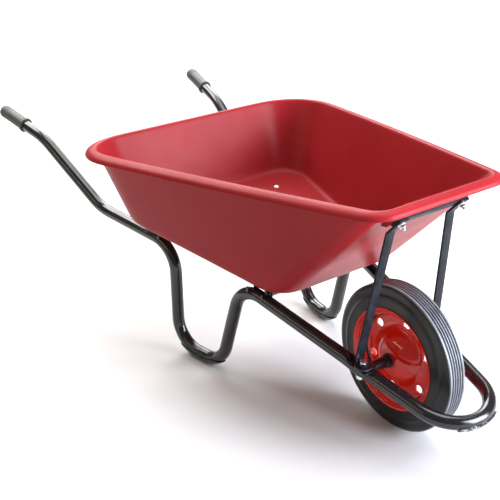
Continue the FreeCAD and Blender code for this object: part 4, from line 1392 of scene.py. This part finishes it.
make_axle_fasteners()

# %% [markdown]
# ## Weld beads
# Welding leaves a row of overlapping drops. Each drop is a small ball pressed flat, laid half
# over the last one. They join the crossmembers and the nose guard to the tube.

# %% Lay the weld beads
WELD_DROP = 2.6 * MM
NOSE_WELD_DROP = 2.2 * MM
NOSE_WELDS = ((-29, -21), (-9, -2), (8, 15), (22, 29))
NOSE_WELD_RISE = -2.5 * MM
NOSE_WELD_OUT = 1.5 * MM


def weld(bm, start, end, size):
    """A row of overlapping drops along a line, each a little larger or smaller than the last."""
    run = end - start
    count = max(2, round(run.length / (size * 0.95)))
    for k in range(count + 1):
        place = start + run * k / count
        wobble = 1 + 0.18 * math.sin(2.7 * k + start.x * 90)
        shape = Matrix.Diagonal((size * wobble, size * 0.8, size * 0.9 * wobble, 1))
        bmesh.ops.create_icosphere(bm, subdivisions=2, radius=1.0, matrix=facing(run, place) @ shape)


def channel_welds(bm, x, side):
    """Four short upright beads where one channel sits over one tube."""
    for end in SIDES:
        edge_x = x - end * (CHANNEL_WIDTH / 2 + 0.5 * MM)
        tube_y = tube_side(edge_x, 0, side).y
        for beside in (-TUBE_RADIUS, TUBE_RADIUS):
            high = floor_point(edge_x, tube_y + beside, CHANNEL_HEIGHT * 0.98)
            low = floor_point(edge_x, tube_y + beside * 1.06, CHANNEL_HEIGHT * 0.62)
            weld(bm, high, low, WELD_DROP)


def nose_welds(bm):
    """Short beads along the top edge of the nose guard, round the outside of the bow."""
    slope_length = math.hypot(1, FRONT_SLOPE)
    half_angle = math.atan(TUBE_TAPER / slope_length)
    centre_x = MEETING_X - BOW_RADIUS / math.sin(half_angle) / slope_length
    centre = Vector((centre_x, 0, front_z(centre_x))) + SEAT_UP * NOSE_WELD_RISE
    spoke = SEAT_ALONG * (BOW_RADIUS + TUBE_RADIUS + NOSE_WELD_OUT)
    for angles in NOSE_WELDS:
        ends = [centre + Matrix.Rotation(math.radians(a), 3, SEAT_UP) @ spoke for a in angles]
        weld(bm, *ends, NOSE_WELD_DROP)


def make_welds():
    """Every bead on the frame, as one piece."""
    bm = bmesh.new()
    for x in (REAR_CHANNEL_X, FRONT_CHANNEL_X):
        for side in SIDES:
            channel_welds(bm, x, side)
    nose_welds(bm)
    finish_piece(bm, "weld_beads", "frame", weld_metal, settle=False)


make_welds()

# %% [markdown]
# ## Parts kept from the frame
# The wear shoes, the nose guard, the hub tube and the bushes already have their true shape in
# the CAD, so only their materials change.

# %% Dress the CAD parts
KEPT = {
    "foot_shoe_left": worn_paint, "foot_shoe_right": worn_paint, "nose_shoe": nose_paint,
    "hub_tube": wheel_red, "bush_left": bush_plastic, "bush_right": bush_plastic}
for node, material in KEPT.items():
    for slot in bpy.data.objects[node].material_slots:
        slot.material = material
print("kept:", sorted(KEPT))
